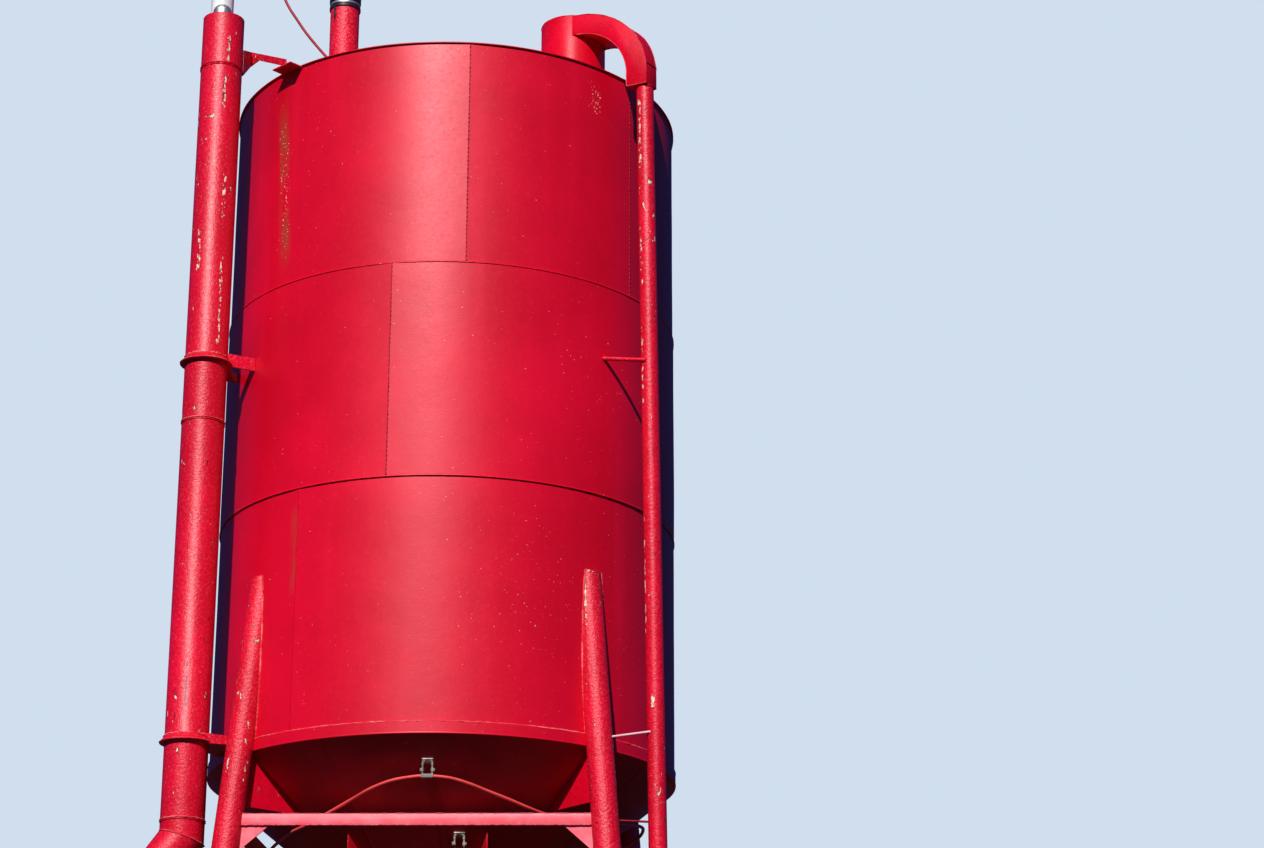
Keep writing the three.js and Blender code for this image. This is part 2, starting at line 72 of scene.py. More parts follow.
RING_LOW, RING_HIGH = 5.755, 8.249
FILL_R = 0.05715
FILL_X, FILL_Y, Z_FILL = 1.386, -1.050, 10.1  # the fill pipe's upper end
FILL_LEAN = 0.01514
DRUM = Vector((0.877, -0.727, 0))
VENT = Vector((-0.644, -1.000, 0))
VENT_R, Z_VENT = 0.0968, 10.800
Z_BEAM = 5.250


def cone_z(r):
    return Z_CONE - (R - r) * SLOPE


def leg_r(z):
    return LEG_OUT + LEG_RAKE * (Z_SKIRT - z)


def fill_x(z):
    return FILL_X + FILL_LEAN * (Z_FILL - z)


def polar(r, az, z):
    return Vector((r * math.cos(rad(az)), r * math.sin(rad(az)), z))


def above(foot, z):
    return foot + Vector((0, 0, z))


def placed(name, data):
    """A new object in the scene."""
    ob = bpy.data.objects.new(name, data)
    bpy.context.collection.objects.link(ob)
    return ob


# Camera and light
PHOTO_WIDTH, FOCAL_LENGTH = 1264, 2945  # pixels; the second was fitted to the photograph
SENSOR = 36.0
EYE_X, EYE_Y, EYE_Z = 2.5325, -18.6471, 1.61
TURN, LOOK_UP, ROLL = 4, 19.32, 0.06  # degrees
camera = placed("camera", bpy.data.cameras.new("camera"))
camera.data.sensor_width = SENSOR
camera.data.lens = FOCAL_LENGTH / PHOTO_WIDTH * SENSOR
camera.data.clip_end = 500
camera.matrix_world = (
    Matrix.Translation((EYE_X + AXIS, EYE_Y, EYE_Z))
    @ Matrix.Rotation(rad(TURN), 4, "Z")
    @ Matrix.Rotation(rad(90 + LOOK_UP), 4, "X")
    @ Matrix.Rotation(rad(ROLL), 4, "Z")
)
bpy.context.scene.camera = camera


def sunlight(name, travel, energy, spread, colour):
    lamp = placed(name, bpy.data.lights.new(name, "SUN"))
    lamp.data.energy = energy
    lamp.data.angle = rad(spread)
    lamp.data.color = colour
    lamp.rotation_euler = Vector(travel).to_track_quat("-Z", "Y").to_euler()
    return lamp


sunlight("key_light", (0.0765, 0.795, -0.602), 4.7, 1.0, (1.0, 0.97, 0.94))
back_light = sunlight("back_light", (0.07, -0.80, -0.60), 1.5, 25, (0.92, 0.96, 1.0))
back_light.visible_glossy = False  # it only fills; it leaves no glints on the edges

# a pale backdrop for the camera, and a deep blue light that fills the shaded sides
world = bpy.data.worlds.new("studio")
bpy.context.scene.world = world
world.use_nodes = True
sky = world.node_tree
backdrop = sky.nodes["Background"]
backdrop.inputs["Color"].default_value = (0.68, 0.77, 0.88, 1)
backdrop.inputs["Strength"].default_value = 1.0
skylight = sky.nodes.new("ShaderNodeBackground")
skylight.inputs["Color"].default_value = (0.006, 0.085, 0.36, 1)
skylight.inputs["Strength"].default_value = 0.75
seen = sky.nodes.new("ShaderNodeLightPath")
either = sky.nodes.new("ShaderNodeMixShader")
sky.links.new(seen.outputs["Is Camera Ray"], either.inputs[0])
sky.links.new(skylight.outputs[0], either.inputs[1])
sky.links.new(backdrop.outputs[0], either.inputs[2])
sky.links.new(either.outputs[0], sky.nodes["World Output"].inputs[0])
bpy.context.scene.view_settings.view_transform = "Standard"
bpy.context.scene.view_settings.gamma = 0.84  # a photograph's contrast


# Paint and metal
class Wire:
    """A value that runs over the surface; sums and products of it add Math nodes."""

    def __init__(self, finish, socket):
        self.finish = finish
        self.socket = socket

    def __add__(self, other):
        return self.finish.maths("ADD", self, other)

    def __radd__(self, other):
        return self.finish.maths("ADD", other, self)

    def __sub__(self, other):
        return self.finish.maths("SUBTRACT", self, other)

    def __rsub__(self, other):
        return self.finish.maths("SUBTRACT", other, self)

    def __mul__(self, other):
        return self.finish.maths("MULTIPLY", self, other)

    def __rmul__(self, other):
        return self.finish.maths("MULTIPLY", other, self)

    def at_least(self, other):
        return self.finish.maths("MAXIMUM", self, other)

    def size(self):
        return self.finish.maths("ABSOLUTE", self, 0.0)

    def ramp(self, low, high):
        """0 below low, 1 above high, smooth between; low may be the larger."""
        settings = {"interpolation_type": "SMOOTHSTEP"}
        if low <= high:
            return self.finish.node("ShaderNodeMapRange", settings, {0: self, 1: low, 2: high})
        return 1.0 - self.finish.node("ShaderNodeMapRange", settings, {0: self, 1: high, 2: low})


class Finish:
    """One procedural material: settings of a node are made first, then its sockets."""

    def __init__(self, name, **shader):
        self.material = bpy.data.materials.new(name)
        self.material.use_nodes = True
        self.tree = self.material.node_tree
        self.tree.nodes.clear()
        self.shader = self.tree.nodes.new("ShaderNodeBsdfPrincipled")
        output = self.tree.nodes.new("ShaderNodeOutputMaterial")
        self.tree.links.new(self.shader.outputs[0], output.inputs[0])
        for key, value in shader.items():
            self.set(key.replace("_", " ").title().replace("Ior", "IOR"), value)
        self.place = self.node("ShaderNodeTexCoord", out="Object")

    def node(self, kind, settings=None, sockets=None, out=0):
        made = self.tree.nodes.new(kind)
        for key, value in (settings or {}).items():
            setattr(made, key, value)
        for key, value in (sockets or {}).items():
            self.feed(made.inputs[key], value)
        return Wire(self, made.outputs[out])

    def feed(self, socket, value):
        if isinstance(value, Wire):
            self.tree.links.new(value.socket, socket)
        else:
            socket.default_value = value

    def set(self, socket, value):
        self.feed(self.shader.inputs[socket], value)

    def maths(self, operation, a, b):
        return self.node("ShaderNodeMath", {"operation": operation}, {0: a, 1: b})

    def mix(self, amount, under, over):
        under, over = (c if isinstance(c, Wire) else (*c, 1.0) for c in (under, over))
        return self.node(
            "ShaderNodeMix", {"data_type": "RGBA"}, {0: amount, 6: under, 7: over}, out=2)

    def moved(self, stretch=(1, 1, 1), shift=(0, 0, 0)):
        return self.node("ShaderNodeMapping", None, {
            "Vector": self.place, "Scale": stretch, "Location": shift})

    def cloud(self, scale, detail=3.0, rough=0.5, stretch=(1, 1, 1), shift=(0, 0, 0), warp=0.0):
        return self.node("ShaderNodeTexNoise", None, {
            "Vector": self.moved(stretch, shift), "Scale": scale, "Detail": detail,
            "Roughness": rough, "Distortion": warp})

    def cells(self, scale):
        return self.node("ShaderNodeTexVoronoi", None, {"Vector": self.moved(), "Scale": scale})

    def xyz(self):
        split = self.tree.nodes.new("ShaderNodeSeparateXYZ")
        self.tree.links.new(self.place.socket, split.inputs[0])
        return [Wire(self, split.outputs[i]) for i in range(3)]

    def relief(self, *layers):
        """Bump layers of (height, strength, distance in metres), one over the other."""
        normal = None
        for height, strength, distance in layers:
            sockets = {"Height": height, "Strength": strength, "Distance": distance}
            if normal is not None:
                sockets["Normal"] = normal
            normal = self.node("ShaderNodeBump", None, sockets)
        self.set("Normal", normal)


CRIMSON = (0.73, 0.0004, 0.034)
CRIMSON_DEEP = (0.60, 0.0002, 0.022)
CRIMSON_FADED = (0.82, 0.007, 0.050)
CRIMSON_SHADE = (0.42, 0.002, 0.010)
CRIMSON_HOLLOW_SHADE = (0.30, 0.002, 0.010)  # painted shade between the grains of thick paint
# paler pink: faded paint, and a painted highlight on the tops of the grains
FADED_PINK_AND_SHEEN = (0.84, 0.075, 0.115)
# pale specks: painted highlights on the grit
SPECK_HIGHLIGHT = (0.80, 0.34, 0.30)
DUST = (0.42, 0.12, 0.10)
CREAM, CREAM_DIRTY = (0.84, 0.70, 0.54), (0.58, 0.36, 0.22)
RUST = (0.34, 0.075, 0.020)
# dark flecks, cracks and scratches, and the painted shadow at the rim of each flake
CRACK_AND_CHIP_SHADOW = (0.045, 0.006, 0.008)
ZINC_DARK, ZINC_PALE, ZINC_STAIN = (0.46, 0.45, 0.42), (0.66, 0.64, 0.59), (0.30, 0.22, 0.13)


def around(finish):
    """Heading round the silo's axis in degrees, and height."""
    x, y, z = finish.xyz()
    return finish.maths("ARCTAN2", y, x - AXIS) * (180 / math.pi), z


def shell_paint():
    f = Finish("shell_paint", coat_weight=0.03, coat_roughness=0.30, specular_ior_level=0.47)
    az, z = around(f)
    tone = f.cloud(0.9, 4, 0.55, shift=(3, 1, 0))
    streak = f.cloud(2.2, 3, 0.5, stretch=(3, 3, 0.16))
    grain = f.cloud(38, 3, 0.6)
    colour = f.mix(tone.ramp(0.35, 0.72), CRIMSON_DEEP, CRIMSON)
    colour = f.mix(streak.ramp(0.50, 0.78) * 0.30, colour, CRIMSON_FADED)
    colour = f.mix(grain.ramp(0.60, 0.80) * 0.25, colour, CRIMSON_FADED)
    # a rust run below the left end of the rim, and a faint one lower down
    run = f.cloud(9, 5, 0.62, stretch=(1, 1, 0.22), shift=(0, 4, 0))
    upper = (az + z * 3.0 + 102.4).size().ramp(2.9, 0.7) * z.ramp(8.8, 9.2) * z.ramp(10.2, 9.7)
    lower = (az + 122.0).size().ramp(1.4, 0.3) * z.ramp(6.6, 6.8) * z.ramp(7.25, 7.1)
    stain = (upper + lower * 0.8) * run.ramp(0.38, 0.58)
    colour = f.mix(stain * 0.75, colour, RUST)
    # small chips, gathered in patches and near the top right
    fleck = f.cloud(75, 2, 0.6)
    patch = f.cloud(1.1, 2, 0.5, shift=(9, 2, 5)).ramp(0.52, 0.72)
    near = (az + 45.0).size().ramp(3.2, 0.8) * z.ramp(9.90, 10.02) * z.ramp(10.2, 10.1)
    chip = (fleck + patch * 0.035 + near * 0.15 + upper * 0.12).ramp(0.745, 0.775)
    colour = f.mix(chip * 0.85, colour, CREAM)
    dark = (f.cloud(52, 3, 0.65, shift=(2, 7, 1)) + stain * 0.10 + near * 0.07).ramp(0.735, 0.765)
    colour = f.mix(dark * 0.8, colour, CRACK_AND_CHIP_SHADOW)
    f.set("Base Color", colour)
    f.set("Roughness", 0.37 + tone * 0.09 + grain.ramp(0.45, 0.8) * 0.08 + stain * 0.2)
    f.relief(
        (f.cloud(5.5, 3, 0.5), 0.35, 0.004),
        (f.cloud(110, 2, 0.55), 0.35, 0.0010),
        (chip + dark, -0.5, 0.0012),
    )
    return f.material


def around_bar(f, line):
    """Heading round a bar in degrees, and height; its line is (foot on the ground, lean)."""
    foot, lean = line
    x, y, z = f.xyz()
    off_x = x - z * lean[0] - (foot[0] + AXIS)
    off_y = y - z * lean[1] - foot[1]
    return f.maths("ARCTAN2", off_y, off_x) * (180 / math.pi), z


def within(f, zones):
    """1 inside the zones listed as (line, heading, half width, lowest, highest), 0 elsewhere."""
    mask = 0.0
    for line, middle, half, low, high in zones:
        az, z = around_bar(f, line)
        side = (az - middle).size().ramp(half, half * 0.4)
        mask = side * z.ramp(low, low + 0.05) * z.ramp(high, high - 0.05) + mask
    return mask


def worn_paint(name, chips=0.0, grit=0.3, seed=0.0, pink=0.35, coarse=62, gloss=0.5, zones=(),
               scratched=()):
    """Brushed-on crimson over older coats: gritty, with flakes down to the cream primer.

    In the zones the paint has come away in chains of chips, and where it is scratched it
    has thin dark lines."""
    f = Finish(name, coat_weight=0.08 * gloss, coat_roughness=0.35, specular_ior_level=gloss)
    tone = f.cloud(2.2, 4, 0.55, shift=(seed, 1, 0))
    grain = f.cloud(coarse, 3, 0.65, shift=(0, seed, 0))
    salt = f.cloud(105, 2, 0.6, shift=(seed, 3, 1))
    colour = f.mix(tone.ramp(0.35, 0.7), CRIMSON_DEEP, CRIMSON)
    # the grain tops paler pink: partly faded paint, partly a painted highlight
    colour = f.mix(grain.ramp(0.46, 0.72) * pink, colour, FADED_PINK_AND_SHEEN)
    # painted shade: the hollows between the grains made darker
    colour = f.mix(grain.ramp(0.40, 0.28) * 0.6, colour, CRIMSON_HOLLOW_SHADE)
    group = f.cloud(1.7, 2, 0.5, stretch=(1, 1, 0.45), shift=(seed, seed, 3)).ramp(0.42, 0.70)
    flake = f.cloud(17, 5, 0.60, stretch=(1, 1, 0.5), shift=(1, seed, seed), warp=0.4)
    wear = flake + group * 0.10 + chips
    hole = wear.ramp(0.735, 0.750)
    # a dark rim round each flake: painted shadow of the paint's edge
    edge = wear.ramp(0.705, 0.728) - hole
    speck = (salt + group * 0.05 + chips).ramp(0.71, 0.75)
    if zones:
        bare = within(f, zones)
        chain = f.cloud(44, 3, 0.62, stretch=(1, 1, 0.5), shift=(seed, 8, 2)) + bare * 0.20
        hole = hole.at_least(chain.ramp(0.715, 0.735))
        edge = edge.at_least(chain.ramp(0.685, 0.71) - hole)
    colour = f.mix(edge * 0.85, colour, CRACK_AND_CHIP_SHADOW)
    if scratched:
        line = f.cloud(40, 3, 0.6, stretch=(1, 1, 0.15), shift=(2, seed, 4))
        line = line + within(f, scratched) * 0.20
        colour = f.mix(line.ramp(0.70, 0.74) * 0.85, colour, CRACK_AND_CHIP_SHADOW)
    inside = f.mix(f.cloud(55, 3, 0.6).ramp(0.45, 0.62), CREAM, CREAM_DIRTY)
    colour = f.mix(hole, colour, inside)
    # pale specks on the grit: painted highlights
    colour = f.mix(speck * 0.7, colour, SPECK_HIGHLIGHT)
    f.set("Base Color", colour)
    f.set("Roughness", 0.40 + grain.ramp(0.4, 0.8) * 0.14 + hole * 0.3)
    f.relief(
        (f.cloud(11, 3, 0.5), 0.3, 0.004),
        (grain, grit, 0.0050),
        (salt, grit * 0.6, 0.0020),
        (hole + edge * 0.6 + speck, -0.7, 0.002),
    )
    return f.material


def hopper_shade_paint():
    f = Finish("hopper_shade_paint", coat_weight=0.05, coat_roughness=0.3)
    tone = f.cloud(1.6, 4, 0.6)
    # darker crimson than the shell: painted shade of the hopper's underside
    colour = f.mix(tone.ramp(0.35, 0.7), CRIMSON_SHADE, CRIMSON_DEEP)
    dust = f.cloud(3.1, 5, 0.6, stretch=(1, 1, 1.6)).ramp(0.56, 0.78)
    colour = f.mix(dust * 0.15, colour, DUST)
    fleck = (f.cloud(48, 3, 0.6) + dust * 0.02).ramp(0.735, 0.765)
    colour = f.mix(fleck * 0.8, colour, CREAM)
    f.set("Base Color", colour)
    f.set("Roughness", 0.46 + tone * 0.15 + dust * 0.15)
    f.relief((f.cloud(6, 3, 0.5), 0.35, 0.004), (f.cloud(150, 2, 0.5), 0.2, 0.0008))
    return f.material


def zinc():
    f = Finish("zinc", metallic=0.9)
    spangle = f.cells(70)
    stain = f.cloud(22, 4, 0.6)
    colour = f.mix(spangle.ramp(0.1, 0.7), ZINC_DARK, ZINC_PALE)
    colour = f.mix(stain.ramp(0.54, 0.72) * 0.7, colour, ZINC_STAIN)
    f.set("Base Color", colour)
    f.set("Roughness", 0.32 + stain * 0.35)
    f.relief((stain, 0.4, 0.001))
    return f.material


def plain_coat(name, light, dark, rough, bump=0.3, **shader):
    f = Finish(name, **shader)
    tone = f.cloud(9, 4, 0.6)
    grime = f.cloud(60, 3, 0.6)
    colour = f.mix(tone.ramp(0.4, 0.7), light, dark)
    colour = f.mix(grime.ramp(0.6, 0.75) * 0.5, colour, tuple(c * 0.55 for c in dark))
    f.set("Base Color", colour)
    f.set("Roughness", rough + tone * 0.15)
    f.relief((grime, bump, 0.0008))
    return f.material


SHELL = shell_paint()
HOPPER = hopper_shade_paint()

# where the worn zones lie: each line is (foot on the ground, lean)
DUCT_LINE = ((RISER_X, RISER_Y), (0.0, 0.0))
FILL_LINE = ((1.539, FILL_Y), (-FILL_LEAN, 0.0))
LEFT_LEG = ((-LEG_FOOT, -LEG_FOOT), (LEG_LEAN, LEG_LEAN))
RIGHT_LEG = ((LEG_FOOT, -LEG_FOOT), (-LEG_LEAN, LEG_LEAN))
LEGS = worn_paint("leg_paint", chips=0.012, grit=0.95, seed=2.0, pink=0.45, zones=[
    (LEFT_LEG, -117, 13, 5.47, 5.68), (LEFT_LEG, -52, 12, 5.70, 5.92),
    (LEFT_LEG, -35, 12, 5.45, 5.66), (LEFT_LEG, -112, 16, 6.00, 6.10),
    (RIGHT_LEG, -104, 9, 6.40, 6.82), (RIGHT_LEG, -4, 10, 5.42, 5.72)])
PIPES = worn_paint("pipe_paint", chips=0.006, grit=0.60, seed=6.0, zones=[
    (DUCT_LINE, -61, 7, 10.34, 10.58), (DUCT_LINE, -66, 6, 9.98, 10.30),
    (DUCT_LINE, -52, 8, 9.14, 9.58), (DUCT_LINE, -49, 7, 8.32, 9.00),
    (DUCT_LINE, -139, 11, 9.36, 9.62), (DUCT_LINE, -116, 9, 8.84, 9.18),
    (FILL_LINE, -133, 19, 9.52, 10.08), (FILL_LINE, -142, 14, 9.30, 9.46),
    (FILL_LINE, -135, 17, 8.66, 9.08), (FILL_LINE, -141, 14, 7.90, 8.48),
    (FILL_LINE, -152, 12, 6.40, 7.22), (FILL_LINE, -105, 24, 5.90, 6.05)],
    scratched=[(DUCT_LINE, -72, 5, 7.52, 7.74), (DUCT_LINE, -86, 4, 5.92, 6.50),
               (DUCT_LINE, -66, 7, 10.00, 10.30)])
STEEL = worn_paint("bracket_paint", chips=0.004, grit=0.45, seed=4.0, pink=0.8)
SHEET = worn_paint("drum_paint", chips=-0.03, grit=0.10, seed=9.0, pink=0.12, coarse=90, gloss=0.22)
# pale pink beams: faded paint, and a painted sheen of the sun on their faces
BEAM_FADE_AND_SHEEN = plain_coat("beam_fade_and_sheen_paint", (0.84, 0.115, 0.150), (0.86, 0.190, 0.225), 0.42, bump=0.15,
                  coat_weight=0.05)
# paler weld paint: painted highlight on the welds' lit tops
WELD_SHEEN = plain_coat("weld_sheen_paint", (0.66, 0.055, 0.070), (0.80, 0.260, 0.240), 0.60,
                  specular_ior_level=0.10)
# dark seam paint: painted shade along the seams and on the lowest fill stay
SEAM_SHADE = plain_coat("seam_shade_paint", (0.34, 0.003, 0.012), (0.20, 0.003, 0.010), 0.50)
VENT_PAINT = worn_paint("vent_paint", chips=0.004, grit=1.30, seed=3.0, pink=0.9, coarse=56)
CLAMP = plain_coat("clamp_steel", (0.34, 0.33, 0.27), (0.16, 0.16, 0.13), 0.50)
# pale pink rod: painted highlight of the sunlit second stay
ROD_HIGHLIGHT = plain_coat("rod_highlight", (0.70, 0.42, 0.42), (0.80, 0.60, 0.58), 0.35)
ZINC = zinc()
WHITE = plain_coat("mast_white", (0.83, 0.83, 0.80), (0.70, 0.69, 0.64), 0.42)
BLACK = plain_coat("cap_black", (0.018, 0.018, 0.022), (0.035, 0.034, 0.036), 0.42, coat_weight=0.3)
HOSE = plain_coat("hose_red", (0.82, 0.110, 0.100), (0.70, 0.060, 0.060), 0.45)
GAUGE_RED = plain_coat("gauge_red", (0.42, 0.020, 0.045), (0.30, 0.014, 0.030), 0.45)


# Shaping
def spun(points, start=0.0, turn=360.0, steps=180):
    """Turn an outline of (radius, height) about the axis; an open sweep gets its two ends.

    The outline is closed, unless it starts and ends on the axis itself."""
    bm = bmesh.new()
    verts = [bm.verts.new(polar(r, start, z)) for r, z in points]
    edges = [bm.edges.new(pair) for pair in zip(verts, verts[1:])]
    if points[0][0] > 0:
        edges.append(bm.edges.new((verts[-1], verts[0])))
    full = turn == 360.0
    bmesh.ops.spin(
        bm, geom=verts + edges, cent=(0, 0, 0), axis=(0, 0, 1), angle=rad(turn),
        steps=steps, use_merge=full)
    if full:
        bmesh.ops.remove_doubles(bm, verts=bm.verts, dist=1e-5)
    else:
        bmesh.ops.holes_fill(bm, edges=[e for e in bm.edges if e.is_boundary], sides=0)
    bmesh.ops.recalc_face_normals(bm, faces=bm.faces)
    return bm


def raised(outline, z):
    """An outline of (radius, height), moved up by z."""
    return [(r, z + h) for r, h in outline]


def shift(bm, vector):
    bmesh.ops.translate(bm, verts=bm.verts, vec=vector)
    return bm


def mapped(bm, matrix):
    bmesh.ops.transform(bm, matrix=matrix, verts=bm.verts)
    return bm


def turned(bm, angle, axis="Z"):
    bmesh.ops.rotate(bm, verts=bm.verts, cent=(0, 0, 0), matrix=Matrix.Rotation(rad(angle), 3, axis))
    return bm


def bar(a, b, radius, sides=32):
    """A round bar from a to b."""
    bm = bmesh.new()
    a, b = Vector(a), Vector(b)
    run = b - a
    bmesh.ops.create_cone(
        bm, cap_ends=True, segments=sides, radius1=radius, radius2=radius, depth=run.length)
    turn = Vector((0, 0, 1)).rotation_difference(run).to_matrix().to_4x4()
    return mapped(bm, Matrix.Translation((a + b) / 2) @ turn)


def block(low, high):
    bm = bmesh.new()
    bmesh.ops.create_cube(bm, size=1.0)
    low, high = Vector(low), Vector(high)
    bmesh.ops.scale(bm, vec=high - low, verts=bm.verts)
    return shift(bm, (low + high) / 2)


def plate(outline, thickness, matrix=Matrix()):
    """A flat outline in X and Y, thickened evenly to both sides of Z."""
    bm = bmesh.new()
    face = bm.faces.new([bm.verts.new((x, y, -thickness / 2)) for x, y in outline])
    grown = bmesh.ops.extrude_face_region(bm, geom=[face])
    top = [v for v in grown["geom"] if isinstance(v, bmesh.types.BMVert)]
    bmesh.ops.translate(bm, verts=top, vec=(0, 0, thickness))
    bmesh.ops.recalc_face_normals(bm, faces=bm.faces)
    return mapped(bm, matrix)


def fin(outline, az):
    """A 10 mm plate that stands upright along a heading; outline in (distance out, height)."""
    upright = Matrix.Rotation(rad(az), 4, "Z") @ Matrix.Rotation(rad(90), 4, "X")
    return plate(outline, 0.010, upright)


def eased(bm, width=0.0015, segments=2, angle=30):
    edges = [e for e in bm.edges if e.is_manifold and e.calc_face_angle(0) > rad(angle)]
    bmesh.ops.bevel(
        bm, geom=edges, offset=width, offset_type="OFFSET", segments=segments,
        profile=0.5, affect="EDGES", material=-1, clamp_overlap=True)
    return bm


def mesh_of(name, bm):
    mesh = bpy.data.meshes.new(name)
    bm.to_mesh(mesh)
    bm.free()
    return mesh


def joined(*parts):
    whole = bmesh.new()
    for bm in parts:
        mesh = mesh_of("part", bm)
        whole.from_mesh(mesh)
        bpy.data.meshes.remove(mesh)
    return whole


def painted(bm, index):
    for face in bm.faces:
        face.material_index = index
    return bm


def cut_off(bm, point, outward):
    """Take away what lies past a plane, and close the cut."""
    geom = bm.verts[:] + bm.edges[:] + bm.faces[:]
    bmesh.ops.bisect_plane(bm, geom=geom, plane_co=point, plane_no=outward, clear_outer=True)
    bmesh.ops.holes_fill(bm, edges=[e for e in bm.edges if e.is_boundary], sides=0)
    return bm


def route(points, radius, sides, cyclic=False, radii=None):
    """A round bar along a line of points."""
    curve = bpy.data.curves.new("route", "CURVE")
    curve.dimensions = "3D"
    curve.bevel_depth = radius
    curve.bevel_resolution = max(0, (sides - 4) // 2)
    curve.use_fill_caps = not cyclic
    spline = curve.splines.new("POLY")
    spline.points.add(len(points) - 1)
    for i, p in enumerate(points):
        spline.points[i].co = (*p, 1)
        spline.points[i].radius = radii[i] if radii else 1.0
    spline.use_cyclic_u = cyclic
    holder = bpy.data.objects.new("route", curve)
    mesh = bpy.data.meshes.new_from_object(holder)
    bm = bmesh.new()
    bm.from_mesh(mesh)
    bpy.data.objects.remove(holder)
    bpy.data.curves.remove(curve)
    bpy.data.meshes.remove(mesh)
    bmesh.ops.remove_doubles(bm, verts=bm.verts, dist=1e-6)
    bmesh.ops.recalc_face_normals(bm, faces=bm.faces)
    return bm


def spaced(points, step, cyclic=False):
    """The same line, with points at even steps."""
    points = [Vector(p) for p in points]
    if cyclic:
        points.append(points[0])
    out = [points[0]]
    left = step
    for a, b in zip(points, points[1:]):
        run = (b - a).length
        while run > 1e-9 and left <= run:
            out.append(a.lerp(b, left / run))
            left += step
        left -= run
    if not cyclic:
        out.append(points[-1])
    elif (out[-1] - out[0]).length < step * 0.5:
        out.pop()
    return out


def curved(points, count):
    """A smooth line through the points."""
    points = [Vector(p) for p in points]
    ends = [points[0] * 2 - points[1], *points, points[-1] * 2 - points[-2]]
    out = []
    for i in range(len(points) - 1):
        p0, p1, p2, p3 = ends[i:i + 4]
        for k in range(count):
            t = k / count
            out.append(0.5 * ((2 * p1) + (p2 - p0) * t + (2 * p0 - 5 * p1 + 4 * p2 - p3) * t * t
                              + (3 * p1 - p0 - 3 * p2 + p3) * t ** 3))
    return out + [points[-1]]


def jittered(line, amount):
    """The same line, with each point moved a little at random."""
    return [p + Vector([random.uniform(-1, 1) * amount for _ in range(3)]) for p in line]


def bead(points, radius, step, cyclic=False, rough=0.3):
    """A weld bead: a thin bar of uneven thickness."""
    line = spaced(points, step, cyclic)
    radii = [1 + random.uniform(-rough, rough) for _ in line]
    return route(jittered(line, radius * 0.18), radius, 6, cyclic, radii)


def arc(r, a0, a1, z, step=1.0):
    count = max(2, int(abs(a1 - a0) / step) + 1)
    return [polar(r, a0 + (a1 - a0) * i / (count - 1), z) for i in range(count)]


def ring_bead(centre, axis, out, count, radius, step, rough=0.3):
    """A weld bead round a bar: out is how far it lies from the bar's line."""
    turn = Vector((0, 0, 1)).rotation_difference(Vector(axis)).to_matrix()
    ring = [Vector(centre) + turn @ polar(out, 360 * i / count, 0) for i in range(count)]
    return bead(ring, radius, step, cyclic=True, rough=rough)


def carved(bm, *cutters):
    """Cut other solids away from this one."""
    work, *tools = [placed("solid", mesh_of("solid", part)) for part in (bm, *cutters)]
    for tool in tools:
        cut = work.modifiers.new("cut", "BOOLEAN")
        cut.operation = "DIFFERENCE"
        cut.object = tool
        cut.solver = "EXACT"
    graph = bpy.context.evaluated_depsgraph_get()
    mesh = bpy.data.meshes.new_from_object(work.evaluated_get(graph))
    out = bmesh.new()
    out.from_mesh(mesh)
    bpy.data.meshes.remove(mesh)
    for ob in [work, *tools]:
        old = ob.data
        bpy.data.objects.remove(ob)
        bpy.data.meshes.remove(old)
    return out


def bolts(places, axis, size=0.019, height=0.012):
    """Hexagon heads on washers."""
    parts = []
    axis = Vector(axis).normalized()
    for p in places:
        p = Vector(p)
        parts.append(bar(p, p + axis * 0.003, size * 0.95, 16))
        head = bar(p + axis * 0.002, p + axis * (0.002 + height), size * 0.62, 6)
        parts.append(eased(head, 0.001, 1))
    return joined(*parts)


def made(name, bm, finishes, replaces=(), slot=None, sharp=32):
    """Finish a piece: shade it smooth but for its sharp edges, and fix it to the silo.

    A piece that has a solid's name replaces that solid."""
    shift(bm, (AXIS, 0, 0))
    bm.normal_update()
    for face in bm.faces:
        face.smooth = True
    for edge in bm.edges:
        edge.smooth = len(edge.link_faces) == 2 and edge.calc_face_angle(0) <= rad(sharp)
    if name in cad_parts:
        name, replaces = f"finished_{name}", name
    mesh = mesh_of(name, bm)
    piece = placed(name, mesh)
    for finish in finishes if isinstance(finishes, (list, tuple)) else [finishes]:
        mesh.materials.append(finish)
    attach(piece, "root")
    if replaces:
        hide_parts(*([replaces] if isinstance(replaces, str) else replaces))


# Shell
def uneven(r, az, z, seams, z0, z1):
    """Radius of a rolled plate: it stands out at upright seams and is drawn in at round ones."""
    to_seam = min(abs((az - s + 180) % 360 - 180) for s in seams) * rad(1) * R
    peak = 0.0035 * max(0.0, 1 - to_seam / 0.16) ** 2
    edge = min(z - z0, z1 - z)
    pinch = -0.0008 * max(0.0, 1 - edge / 0.09) ** 2
    p = polar(1, az, z * 0.8)
    wave = noise.noise(p * 1.5 + Vector((r, 3, z0))) * 0.0022 + noise.noise(p * 4.1) * 0.0008
    calm = min(1.0, edge / 0.12)
    return r + peak + pinch + wave * (0.35 + 0.65 * calm)


